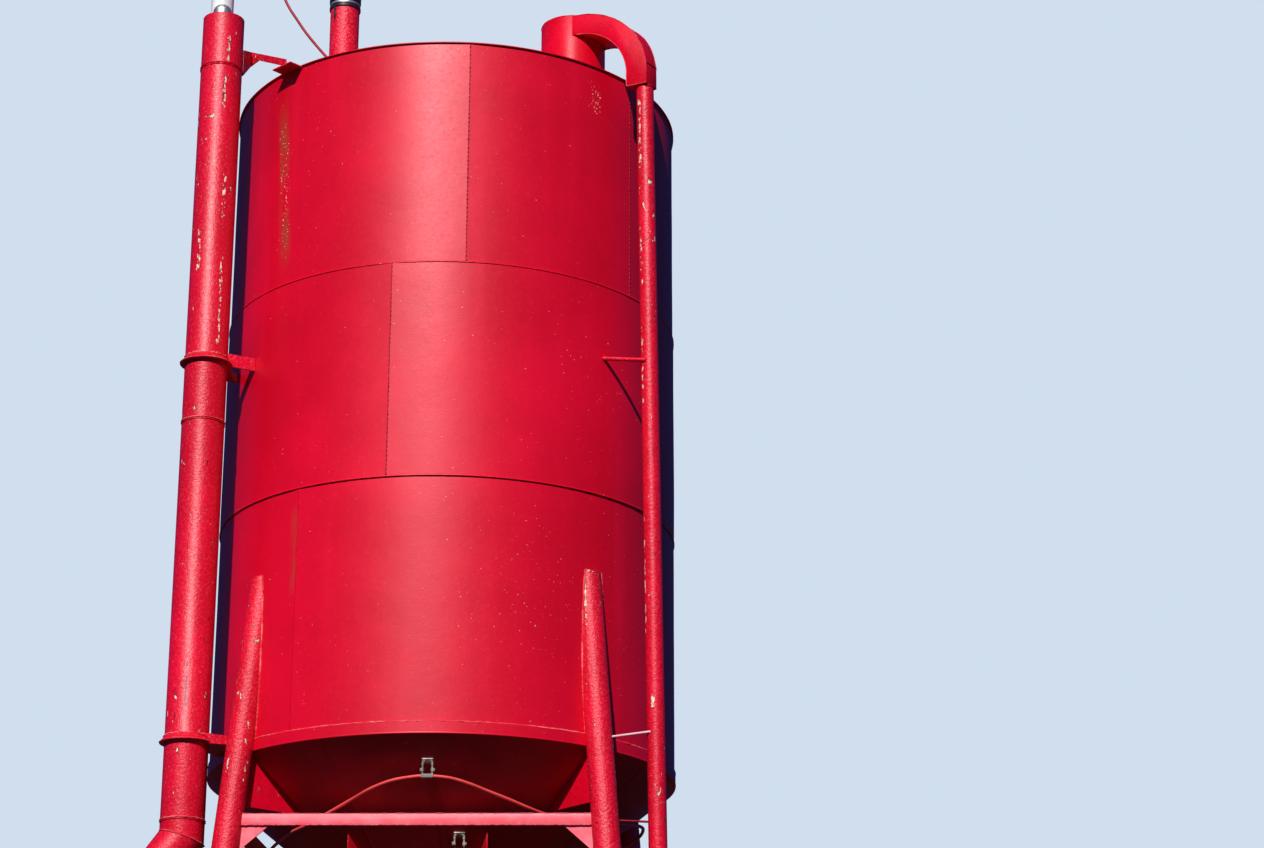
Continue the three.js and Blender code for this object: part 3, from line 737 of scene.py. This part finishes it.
def course(level, r, z0, z1, seams):
    """One course of the shell: a curved plate from each upright seam to the next."""
    rows = 16
    gap = math.degrees(0.0014 / r)
    outside = [(r, z0 + (z1 - z0) * k / rows) for k in range(rows + 1)]
    plates = []
    for i, a0 in enumerate(seams):
        a1 = seams[i + 1] if i + 1 < len(seams) else seams[0] + 360
        bm = spun([*outside, (r - WALL, z1), (r - WALL, z0)], a0 + gap, a1 - a0 - 2 * gap, int(a1 - a0))
        for v in bm.verts:
            az = math.degrees(math.atan2(v.co.y, v.co.x))
            old = math.hypot(v.co.x, v.co.y)
            new = uneven(r, az, v.co.z, seams, z0, z1) - (r - old)
            v.co = polar(new, az, v.co.z)
        plates.append(bm)
    nodes = [f"shell_{level}_plate_{i + 1}" for i in range(len(seams))]
    made(f"shell_{level}_course", joined(*plates), SHELL, nodes)


TOP_SEAMS, MID_SEAMS, LOW_SEAMS = [-79.5, -32.5, 56, 168], [-97.4, 24, 144], [-120.8, 4, 124]
course("top", R, Z_SEAM_A - LAP, Z_RIM, TOP_SEAMS)
course("middle", R_MID, Z_SEAM_B, Z_SEAM_A, MID_SEAMS)
course("bottom", R, Z_SKIRT, Z_SEAM_B + LAP, LOW_SEAMS)


def stitched(points, size):
    """An upright weld laid in short stitches of three points, one just clear of the next."""
    line = spaced(points, 0.010)
    radii = [(0.35, 1.1, 1.0)[i % 3] * random.uniform(0.8, 1.15) for i in range(len(line))]
    return route(jittered(line, 0.0006), size, 6, radii=radii)


def lap_weld(r, z):
    """A round weld on a lap: slopes up to a low crown that overhangs a narrow dark edge."""
    profile = [(r - 0.004, z - 0.0052), (r + 0.0022, z - 0.0050), (r + 0.0034, z - 0.0030),
               (r + 0.0026, z + 0.0015), (r + 0.0004, z + 0.0058), (r - 0.004, z + 0.0062)]
    ring = spun(profile, steps=540)
    for v in ring.verts:
        out = math.hypot(v.co.x, v.co.y)
        if out > r - 0.002:
            push = noise.noise(v.co * 45) * 0.0014 + noise.noise(v.co * 9) * 0.0008
            v.co.x *= 1 + push / out
            v.co.y *= 1 + push / out
            v.co.z += noise.noise(v.co * 31 + Vector((5, 0, 0))) * 0.0010
    return ring


band_weld = bead(arc(R_BAND - 0.004, 0, 360, Z_BAND + 0.002), 0.0052, 0.02, rough=0.35)
beads = [lap_weld(R_MID, Z_SEAM_A), lap_weld(R_MID, Z_SEAM_B), painted(band_weld, 2)]
for seams, r, z0, z1, size, finish in (
        (TOP_SEAMS, R, Z_SEAM_A, Z_RIM, 0.0052, 1),
        (MID_SEAMS, R_MID, Z_SEAM_B, Z_SEAM_A, 0.0044, 1),
        (LOW_SEAMS, R, Z_BAND, Z_SEAM_B, 0.0022, 0)):
    for az in seams:
        line = [polar(r + 0.0012, az + 0.06, z0 + (z1 - z0) * k / 8) for k in range(9)]
        beads.append(painted(stitched(line, size), finish))
# the base ring's weld paler as painted highlight, the upper upright seams dark as painted shade
made("shell_weld_beads", joined(*beads), [SHELL, SEAM_SHADE, WELD_SHEEN], slot="shell_paint", sharp=80)


# Roof
def roof_top(r):
    return Z_ROOF + WALL + RISE * (1 - r / (R - WALL))


roof = spun([(0, Z_ROOF + RISE), (R - WALL, Z_ROOF), (EAVES, Z_ROOF), (EAVES, Z_ROOF + WALL)]
            + [(r, roof_top(r)) for r in (R - WALL, 1.0, 0.5, 0)])
z_weld = Z_ROOF + 0.007
roof_beads = [bead([polar(0.03, az, z_weld + RISE * 0.98), polar(R - WALL, az, z_weld)], 0.004, 0.02)
              for az in range(10, 370, 60)]
made("roof", joined(roof, *roof_beads), SHELL)

# Base ring
lip = [(R_BAND + 0.0018 * math.sin(rad(a)), Z_SKIRT + 0.005 - 0.005 * math.cos(rad(a)))
       for a in range(0, 181, 30)]
ring = spun([(R + HAIR, Z_SKIRT), *lip, (R_BAND, Z_BAND), (R + HAIR, Z_BAND)], steps=240)
made("base_ring", ring, SHELL, ["base_ring_right", "base_ring_left"])

# Hopper cone and its ribs
drop = WALL / math.cos(rad(CONE_TILT))
slant_radii = [R_OUTLET + (R - R_OUTLET) * k / 10 for k in range(11)]
cone = spun([(r, cone_z(r)) for r in slant_radii]
            + [(R - drop / SLOPE, Z_CONE), (R_OUTLET, cone_z(R_OUTLET) + drop)], steps=180)
for v in cone.verts:
    r = math.hypot(v.co.x, v.co.y)
    calm = min(1.0, (R - r) / 0.15, (r - R_OUTLET) / 0.15)
    v.co.z += noise.noise(Vector((v.co.x, v.co.y, 0)) * 2.6) * 0.003 * max(0.0, calm)
cone_beads = [bead([polar(r, az, cone_z(r) - 0.001) for r in (R_OUTLET, R)], size, 0.014)
              for az, size in ((-112, 0.0016), (-24, 0.005), (64, 0.005), (156, 0.005))]
rib = [(r, cone_z(r) - below) for r, below in (
    (0.93, -0.003), (0.93, 0.122), (0.90, 0.116), (0.48, 0.082), (0.48, -0.003))]
ribs = [eased(fin(rib, az)) for az in (-64.6, 59.5, 115.4, 239.5)]
made("hopper_cone", joined(cone, *cone_beads, *ribs), HOPPER,
     [f"hopper_plate_{i}" for i in (1, 2, 3, 4)])

# Outlet neck and flange
z_out = cone_z(R_OUTLET) - HAIR
neck = [(0.192, -0.106), (0.268, -0.106), (0.270, -0.104), (0.270, -0.090), (0.268, -0.088),
        (0.210, -0.088), (0.205, -0.083), (0.205, 0), (0.192, 0)]
flange_bolts = bolts([polar(0.24, 15 + 30 * i, z_out - 0.088) for i in range(12)], (0, 0, 1))
made("outlet_flange", joined(spun(raised(neck, z_out), steps=96), painted(flange_bolts, 1)),
     [HOPPER, ZINC])


# Legs
FOOT_HALF, FOOT_THICK, FOOT_BOLT = 0.18, 0.02, 0.14
WEB_FOOT = 5.362


def leg_point(az, z):
    return polar(leg_r(z), az, z)


def leg_core(az, low, high):
    """A stretch of a leg as a solid, a hair larger, to fit other pieces against."""
    return bar(leg_point(az, low), leg_point(az, high), LEG_R + HAIR, 48)


def leg_spread(z):
    """Degrees from a leg's middle to where its side meets the shell."""
    out = leg_r(z)
    return math.degrees(math.acos((R * R + out * out - LEG_R ** 2) / (2 * R * out)))


def shell_core():
    """The shell and base ring as one solid, to fit the legs against."""
    wall, band = R + HAIR, R_BAND + HAIR
    return spun([(0, 5.55), (wall, 5.55), (wall, Z_SKIRT - HAIR), (band, Z_SKIRT - HAIR),
                 (band, Z_BAND + HAIR), (wall, Z_BAND + HAIR), (wall, 7.2), (0, 7.2)], steps=240)


def leg(name, az):
    tube = bar(leg_point(az, -0.3), leg_point(az, 7.1), LEG_R, 48)
    for z, side in ((LEG_TOP, 1), (FOOT_THICK / 2, -1)):
        cut_off(tube, (0, 0, z), (0, 0, side))
    tube = carved(tube, shell_core())

    # welds up both sides, over the top and round the foot
    welds = []
    z_low = Z_BAND + 0.01
    for side in (-1, 1):
        line = []
        for k in range(24):
            z = z_low + (LEG_TOP - z_low) * k / 23
            line.append(polar(R + 0.003, az + side * leg_spread(z), z))
        welds.append(bead(line, 0.0055, 0.013, rough=0.4))
    spread = leg_spread(LEG_TOP)
    welds.append(bead(arc(R + 0.003, az - spread, az + spread, LEG_TOP + 0.001, 0.5), 0.0045, 0.013))
    slant = leg_point(az, 0.5) - leg_point(az, 0)
    welds.append(ring_bead(leg_point(az, 0.022), slant, LEG_R + 0.002, 48, 0.006, 0.013))

    x, y = leg_point(az, FOOT_THICK / 2).xy
    foot = block((x - FOOT_HALF, y - FOOT_HALF, 0), (x + FOOT_HALF, y + FOOT_HALF, FOOT_THICK))
    foot = eased(foot, 0.002)
    web = [(R - (Z_CONE - WEB_FOOT) / SLOPE + 0.0015, WEB_FOOT), (1.56, WEB_FOOT),
           (1.53, Z_SKIRT - 0.001), (R + 0.0005, Z_SKIRT - 0.001)]
    web = eased(fin(web, az), 0.001, 1)
    nuts = []
    for dx in (-FOOT_BOLT, FOOT_BOLT):
        for dy in (-FOOT_BOLT, FOOT_BOLT):
            p = Vector((x + dx, y + dy, FOOT_THICK))
            nuts.append(bolts([p], (0, 0, 1), 0.026, 0.02))
            nuts.append(bar(p, above(p, 0.055), 0.010, 16))
    # the welds in paler paint: painted highlight
    made(name, joined(tube, foot, painted(web, 2), painted(joined(*welds), 3), painted(joined(*nuts), 1)),
         [LEGS, ZINC, SHEET, WELD_SHEEN])


leg("leg_front_left", -135)
leg("leg_front_right", -45)
leg("leg_rear_right", 45)
leg("leg_rear_left", 135)

# Tie beams
tie_at = leg_r(Z_BEAM) * math.sqrt(0.5)
face_at = -(tie_at + 0.022)


def tie_beam(name, turn, tilt=0.0):
    """An angle bar between two legs: corner plates at its ends, rough beads along two edges."""
    profile = [(0, -0.035), (0.007, -0.035), (0.007, 0.023), (0.0084, 0.0266), (0.012, 0.028),
               (0.070, 0.028), (0.070, 0.035), (0, 0.035)]
    stand = Matrix(((0, 0, 1, 0), (1, 0, 0, face_at), (0, 1, 0, 0), (0, 0, 0, 1)))
    parts = [eased(plate(profile, 2 * tie_at, stand), 0.0016, 2)]
    lift = Matrix.Translation((0, face_at + 0.020, 0)) @ Matrix.Rotation(rad(90), 4, "X")
    for s in (-1, 1):
        corner = [(s * (tie_at + out), z) for out, z in (
            (-0.25, 0.0275), (-0.25, -0.0354), (-0.075, -0.189), (0.02, -0.189), (0.02, 0.0275))]
        parts.append(eased(plate(corner, 0.010, lift), 0.001, 1))
    for out, z, radius, step in ((0.0005, 0.034, 0.0026, 0.016), (0.003, -0.0348, 0.0034, 0.014)):
        line = [(s * tie_at, face_at + out, z) for s in (-1, 1)]
        parts.append(bead(line, radius, step, rough=0.5))
    cut = []
    for part in parts:
        turned(part, tilt, "Y")
        shift(part, (0, 0, Z_BEAM))
        turned(part, turn)
        cut.append(carved(part, leg_core(turn - 135, 4.9, 5.5), leg_core(turn - 45, 4.9, 5.5)))
    made(name, joined(*cut), BEAM_FADE_AND_SHEEN)


tie_beam("tie_beam_front", 0, 0.7)
tie_beam("tie_beam_right", 90)
tie_beam("tie_beam_rear", 180)
tie_beam("tie_beam_left", 270)


# Riser duct
def duct(z0, z1, r=RISER_R):
    return bar(above(RISER, z0), above(RISER, z1), r, 64)


def flared(z0, z1):
    """One length of the duct: its lower end flares out to a collar with a flat underside."""
    collar = [(0, 0), (RISER_RING - 0.001, 0), (RISER_RING, 0.001), (RISER_RING, 0.005),
              (RISER_RING - 0.0015, 0.0062), (RISER_R + 0.002, 0.041), (RISER_R, 0.046)]
    return shift(spun([*raised(collar, z0), (RISER_R, z1), (0, z1)], steps=64), RISER)


def duct_bead(z, size, r=RISER_R + 0.001, rough=0.5):
    return ring_bead(above(RISER, z), (0, 0, 1), r, 72, size, 0.012, rough)


def collar_beads(z):
    """Rough welds where the flare starts, along its lip, and round the length below it."""
    flare = duct_bead(z + 0.044, 0.0055, rough=0.75)
    lip = duct_bead(z + 0.005, 0.003, RISER_RING - 0.001)
    return [painted(joined(flare, lip), 1), duct_bead(z - 0.004, 0.0042)]


top_beads = [duct_bead(z, 0.004) for z in (10.353, 10.341)]
made("riser_top", joined(flared(RING_HIGH, Z_RISER_TOP), *top_beads, *collar_beads(RING_HIGH)),
     [PIPES, WELD_SHEEN])
middle_beads = [painted(duct_bead(7.855, 0.0042), 1), duct_bead(7.842, 0.0035)]
made("riser_middle", joined(flared(RING_LOW, RING_HIGH - HAIR), *middle_beads, *collar_beads(RING_LOW)),
     [PIPES, WELD_SHEEN])

# the lowest length bends outwards at a mitre and ends in a flat ring
ELBOW_LEAN, ELBOW_HEADING, ELBOW_END = rad(35), 190, 0.38
mitre = above(RISER, Z_MITRE)
lean = polar(math.sin(ELBOW_LEAN), ELBOW_HEADING, -math.cos(ELBOW_LEAN))
bisector = (Vector((0, 0, -1)) + lean).normalized()
upper = cut_off(duct(Z_MITRE - 0.3, RING_LOW - HAIR), mitre, bisector)
lower = cut_off(bar(mitre - lean * 0.3, mitre + lean * ELBOW_END, RISER_R, 64), mitre, -bisector)
joint_line = []
for az in range(0, 360, 5):
    out = polar(RISER_R + 0.001, az, 0)
    joint_line.append(above(mitre + out, -out.dot(bisector) / bisector.z))
end_ring = bar(mitre + lean * (ELBOW_END - 0.018), mitre + lean * ELBOW_END, RISER_RING, 64)
end_weld_at = mitre + lean * (ELBOW_END - 0.020)
low_beads = [painted(duct_bead(5.276, 0.004), 1), duct_bead(5.265, 0.004),
             painted(bead(joint_line, 0.004, 0.012, cyclic=True, rough=0.6), 1),
             ring_bead(end_weld_at, lean, RISER_R + 0.001, 72, 0.004, 0.012)]
made("riser_low", joined(upper, lower, eased(end_ring, 0.0012, 1), *low_beads), [PIPES, WELD_SHEEN])

# Dome and mast on the duct
z = Z_RISER_TOP + HAIR
dome = [(0, 0), (0.061, 0), (0.061, 0.0216)]
dome += [(0.061 * math.cos(rad(a)), 0.0216 + 0.058 * math.sin(rad(a))) for a in range(10, 90, 10)]
dome.append((0, 0.0796))
dome = shift(spun(raised(dome, z), steps=48), (RISER.x + 0.003, RISER.y - 0.072, 0))
made("riser_dome", dome, ZINC)
mast = spun([(0, z), (0.075, z), (0.075, 11.492), (0.073, 11.498), (0.069, 11.4999), (0, 11.4999)],
            steps=64)
made("riser_mast", shift(mast, (RISER.x - 0.031, RISER.y + 0.066, 0)), WHITE)


# Brackets of the riser
def arm(x, y, az, outline):
    """An upright plate that starts at x, y and runs along a heading."""
    return shift(fin(outline, az), (x, y, 0))


def oblong(length, z0, z1):
    return [(0, z0), (length, z0), (length, z1), (0, z1)]


def riser_core():
    """The duct and its two collars as solids, a hair larger."""
    collar = [(0, 0), (RISER_RING + HAIR, 0), (RISER_RING + HAIR, 0.0064), (RISER_R + 0.003, 0.046),
              (0, 0.046)]
    collars = [shift(spun(raised(collar, z - HAIR), steps=64), RISER)
               for z in (RING_LOW, RING_HIGH)]
    return [duct(4.9, 10.95, RISER_R + HAIR), *collars]


def wall_core(r, low=5.5):
    """The shell as one solid, to fit other pieces against."""
    return spun([(0, low), (r, low), (r, 8.7), (0, 8.7)], steps=240)


def rim_core():
    """The top course and the roof's edge as one solid, to fit the top bracket against."""
    wall, eaves, rim = R + 0.0024, EAVES + HAIR, Z_RIM - HAIR
    return spun([(0, 8.7), (wall, 8.7), (wall, rim), (eaves, rim), (eaves, 11), (0, 11)], steps=240)


def fitted(part, *others):
    """Cut a bracket's plate to the duct and to what else it meets, then ease its edges."""
    return eased(carved(part, *riser_core(), *others), 0.001, 1)


rim_plate = turned(block((1.400, -0.090, Z_RIM - 0.008), (1.605, 0.090, Z_RIM)), -129.1)
side_plate = arm(-1.3145, -1.100, 88, [
    (0.044, 10.3186), (0.268, 10.503), (0.276, 10.503), (0.276, 10.608), (0.044, 10.510)])
brace = arm(-1.305, -0.830, -51.5, [
    (-0.005, 10.502), (0.115, 10.499), (0.515, 10.292), (0.515, 10.345), (-0.005, 10.610)])
top_parts = [fitted(part, rim_core()) for part in (rim_plate, side_plate, brace)]
made("riser_bracket_top", joined(*top_parts), STEEL)

z_seat = RING_HIGH - HAIR
seat = plate([(-1.346, -1.098), (-1.288, -1.060), (-1.312, -0.939), (-1.322, -0.767), (-1.450, -0.850),
              (-1.455, -0.935)], 0.008, Matrix.Translation((0, 0, z_seat - 0.004)))
arms = [arm(-1.346, -1.098, 33, oblong(0.280, z_seat - 0.008, 8.327)),
        arm(-1.450, -0.850, 33, oblong(0.200, z_seat - 0.008, 8.306))]
middle_parts = [fitted(part, wall_core(R_MID + 0.003)) for part in (seat, *arms)]
made("riser_bracket_middle", joined(*middle_parts), STEEL)

z_seat = RING_LOW - HAIR
seat = plate([(-1.325, -1.142), (-1.180, -1.086), (-1.060, -1.000), (-1.200, -0.820), (-1.300, -0.742),
              (-1.333, -0.777), (-1.356, -0.862), (-1.375, -0.960)],
             0.010, Matrix.Translation((0, 0, z_seat - 0.005)))
side_arm = arm(-1.343, -1.149, 22, [
    (0, z_seat - 0.010), (0.190, z_seat - 0.010), (0.190, 5.798), (0, 5.812)])
low_parts = [fitted(part, wall_core(R_BAND + 0.003), leg_core(-135, 5.4, 6.2)) for part in (seat, side_arm)]
made("riser_bracket_low", joined(*low_parts), STEEL)


# Fill pipe, its coupling and stays
def fill_point(z):
    return Vector((fill_x(z), FILL_Y, z))


Z_BEND, BEND_R = 1.4, 0.25
x_end, z_end = fill_x(Z_BEND) + BEND_R, Z_BEND - BEND_R
bend = [fill_point(Z_BEND) + Vector((BEND_R * (1 - math.cos(rad(a))), 0, -BEND_R * math.sin(rad(a))))
        for a in range(5, 91, 5)]
pipe_line = [fill_point(z) for z in (10.1492, 9.0, 6.0, 3.0, Z_BEND)] + bend
pipe_beads = [ring_bead(fill_point(z), (0, 0, 1), FILL_R + 0.001, 40, 0.004, 0.011, 0.5)
              for z in (10.143, 4.1, Z_BEND)]
end_weld_at = (x_end - 0.003, FILL_Y, z_end)
pipe_beads.append(ring_bead(end_weld_at, (1, 0, 0), FILL_R + 0.001, 40, 0.004, 0.011))
made("fill_pipe", joined(route(pipe_line, FILL_R, 40), *pipe_beads), PIPES)


def on_pipe_end(bm):
    """Lay a piece that was made upright along the fill pipe's end, pointing outwards."""
    return shift(turned(bm, 90, "Y"), (x_end, FILL_Y, z_end))


cap = spun([(0, 0.0006), (0.0652, 0.0006), (0.0652, 0.038), (0.080, 0.040), (0.082, 0.042),
            (0.082, 0.052), (0.074, 0.056), (0.074, 0.080), (0.082, 0.084), (0.082, 0.092),
            (0.079, 0.095), (0, 0.095)], steps=64)
lugs = joined(*[turned(block((-0.012, 0.060, 0.046), (0.012, 0.0815, 0.066)), a) for a in (0, 180)])
made("fill_coupling", joined(on_pipe_end(cap), on_pipe_end(lugs)), ZINC)

# the second stay is pale as painted highlight, the third dark as painted shade
stays = [((1.069, -0.997, 8.265), (1.395, -1.101, 8.207), 0.0135, STEEL),
         ((1.130, -1.136, 5.741), (1.440, -1.088, 5.790), 0.008, ROD_HIGHLIGHT),
         ((1.160, -1.128, 5.236), (1.450, -1.052, 5.236), 0.007, SEAM_SHADE),
         ((1.440, -1.410, 1.700), (1.512, -1.070, 1.700), 0.009, STEEL)]
for i, (a, b, r, finish) in enumerate(stays):
    pipe_core = bar(fill_point(9), fill_point(1.5), FILL_R + HAIR, 40)
    rod = carved(bar(a, b, r, 20), leg_core(-45, 1.2, 6.6), pipe_core, wall_core(R_MID + 0.003, 7.5))
    made(f"fill_stay_{i + 1}", rod, finish)


# Box elbow and drum
def drum_core():
    return bar(above(DRUM, 10.0), above(DRUM, 10.9), 0.2157, 72)


def roof_core():
    """Everything under the roof's upper face, a hair larger."""
    z = Z_ROOF + WALL + HAIR
    return spun([(0, 9.0), (EAVES + HAIR, 9.0), (EAVES + HAIR, z), (R - WALL, z), (0, z + RISE)], steps=180)


def half_width(u):
    """The elbow is 122 mm wide at its outer end and spreads towards the drum."""
    return 0.061 + (0.050 - u) * math.tan(rad(10))


def bend_arc(radius, angles):
    return [(-0.45 + radius * math.cos(rad(a)), 10.245 + radius * math.sin(rad(a))) for a in angles]


# the elbow's side, as (distance out, height): its lower edge outwards, then its upper edge back
inner = [(-0.585, 10.603), (-0.45, 10.603), *bend_arc(0.358, range(86, 1, -4)), (-0.092, 10.150),
         (0.05, 10.150)]
outer = [*bend_arc(0.5, range(0, 91, 4)), (-0.45, 10.745), (-0.585, 10.745)]
heading = polar(1, -30, 0)
side = heading.cross(Vector((0, 0, 1)))
stand = Matrix((
    (heading.x, 0, side.x, FILL_X), (heading.y, 0, side.y, FILL_Y), (0, 1, 0, 0), (0, 0, 0, 1)))

elbow = plate(inner + outer, 2.0)
for v in elbow.verts:
    v.co.z *= half_width(v.co.x)
mapped(elbow, stand)
elbow = eased(carved(elbow, drum_core(), roof_core()), 0.0025, 2, 40)
edge_beads = []
for t in (-1, 1):
    for edge in (inner[1:], outer[1:]):
        line = [stand @ Vector((u, v, t * half_width(u))) for u, v in edge]
        edge_beads.append(bead(line, 0.0026, 0.012, rough=0.4))
line = [stand @ Vector((0.0475, 10.30, t * half_width(0.0475))) for t in (-1, 1)]
cross_seam = painted(bead(line, 0.0036, 0.012), 2)
made("box_elbow", joined(elbow, painted(joined(*edge_beads), 1), cross_seam), [SHEET, WELD_SHEEN, SEAM_SHADE],
     sharp=25)

drum = spun([(0, 10.2), (0.2153, 10.2), (0.2153, 10.752), (0.2125, 10.7575), (0.20, 10.7595),
             (0, 10.7635)], steps=96)
drum = carved(shift(drum, DRUM), roof_core())
drum_bead = ring_bead(above(DRUM, 10.752), (0, 0, 1), 0.2145, 80, 0.0035, 0.012)
made("roof_drum", joined(drum, painted(drum_bead, 1)), [SHEET, WELD_SHEEN])

# Vent pipe with a dark run of drips, and its cap
pipe = carved(bar(above(VENT, 10.2), above(VENT, Z_VENT), VENT_R, 56), roof_core())
drips = ((0.010, 10.798), (0.009, 10.780), (0.006, 10.760), (0.011, 10.735), (0.005, 10.712))
drip_line = [VENT + polar(0.0965, -124 + k % 2, z) for k, (width, z) in enumerate(drips)]
drip = painted(route(drip_line, 1.0, 10, radii=[width for width, z in drips]), 1)
made("vent_pipe", joined(pipe, drip), [VENT_PAINT, BLACK])

z = Z_VENT + HAIR
cap = [(0, 0), (0.100, 0), (0.104, 0.003), (0.104, 0.022), (0.099, 0.026), (0.099, 0.050),
       (0.105, 0.056), (0.105, 0.118), (0.093, 0.150), (0.050, 0.172), (0, 0.1794)]
band = [(0.099, 0.030), (0.1015, 0.031), (0.1015, 0.045), (0.099, 0.046)]
cap = joined(spun(raised(cap, z), steps=64), painted(spun(raised(band, z), steps=64), 1))
made("vent_cap", shift(cap, VENT), [BLACK, ZINC])

# Gauge line
gauge = [(-0.622, -1.193, 10.312), (-0.682, -1.170, 10.334), (-0.735, -1.149, 10.399),
         (-0.818, -1.116, 10.510), (-0.895, -1.086, 10.621), (-0.973, -1.057, 10.749),
         (-1.013, -1.042, 10.816), (-1.053, -1.027, 10.900), (-1.086, -1.015, 10.998),
         (-1.102, -1.011, 11.115)]
made("gauge_line", route(curved(gauge, 8), 0.009, 12), GAUGE_RED)

# Air line under the hopper, as (heading, distance from the axis), and its clamps
HOSE_DROP = 0.113  # the hose hangs this far below the cone
air = [(-176, 1.050), (-172.5, 1.072), (-167, 1.088), (-149, 1.090), (-139, 1.109), (-129.6, 1.127),
       (-117.6, 1.179), (-109.2, 1.233), (-102, 1.292), (-96, 1.333), (-90.6, 1.353), (-86.2, 1.359),
       (-80.4, 1.348), (-75, 1.316), (-69.2, 1.275), (-62.8, 1.237), (-55.7, 1.199), (-48, 1.172),
       (-38, 1.165), (-28, 1.185), (-15, 1.240), (-3, 1.285), (6, 1.300), (17, 1.290), (30, 1.225),
       (42, 1.172), (52, 1.165), (63, 1.200), (75, 1.270), (85, 1.340), (93.8, 1.359), (102, 1.340),
       (114, 1.270), (129, 1.165), (142, 1.112), (158, 1.088), (169, 1.075), (176, 1.050)]


def seated(bm, az, r, lift):
    """Set a small fitting, drawn flat with its top at z = 0, against the hopper."""
    return mapped(bm, Matrix.Rotation(rad(az), 4, "Z") @ Matrix.Translation((r, 0, cone_z(r)))
                  @ Matrix.Rotation(-rad(CONE_TILT), 4, "Y") @ Matrix.Translation((0, 0, -lift)))


manifold = seated(eased(block((-0.020, -0.090, -0.098), (0.020, 0.090, 0)), 0.004), 180, 0.992, 0.0005)
hose_line = curved([polar(r, az, cone_z(r) - HOSE_DROP) for az, r in air], 10)
made("air_line", joined(route(hose_line, 0.0105, 12), painted(manifold, 1)), [HOSE, CLAMP])


def clamp(name, az, r):
    """A plate bolted on the cone, two threaded rods down from it and a saddle for the hose."""
    parts = []
    for side in (-0.029, 0.029):
        rod = block((0.003, side - 0.0045, -0.101), (0.013, side + 0.0045, -0.010))
        cross_pin = bar((0.008, side, -0.060), (0.008, side * 1.55, -0.060), 0.0075, 12)
        big_nut = bar((0.008, side * 1.1, -0.074), (0.008, side * 1.1, -0.052), 0.0125, 6)
        nut = bar((0.008, side, -0.034), (0.008, side, -0.024), 0.0095, 6)
        parts += [eased(rod, 0.001, 1), cross_pin, eased(big_nut, 0.001, 1), eased(nut, 0.001, 1)]
    parts.append(eased(block((0.001, -0.038, -HOSE_DROP), (0.029, 0.038, -0.089)), 0.003, 2))
    body = turned(shift(joined(*parts), (r, 0, cone_z(r))), az)
    plate_bolts = bolts([(0, y, -0.010) for y in (-0.022, 0.022)], (0, 0, -1), 0.010, 0.007)
    top = joined(eased(block((-0.018, -0.035, -0.010), (0.018, 0.035, 0)), 0.002), plate_bolts)
    made(name, joined(seated(top, az, r, HAIR), painted(body, 1)), [ZINC, CLAMP])


clamp("air_nozzle_front_high", -86.2, 1.344)
clamp("air_nozzle_front_low", -75.3, 0.902)
clamp("air_nozzle_rear_high", 93.8, 1.344)
clamp("air_nozzle_rear_low", 104.7, 0.902)

# Floor: pale to the camera, dark in the light that it throws up at the silo
floor_finish = Finish("floor", roughness=0.85)
ray = floor_finish.tree.nodes.new("ShaderNodeLightPath")
floor_finish.set("Base Color", floor_finish.mix(
    Wire(floor_finish, ray.outputs["Is Camera Ray"]), (0.040, 0.016, 0.010), (0.74, 0.76, 0.78)))
bm = bmesh.new()
bmesh.ops.create_circle(bm, cap_ends=True, segments=96, radius=60)
floor = placed("floor", mesh_of("floor", bm))
floor.data.materials.append(floor_finish.material)
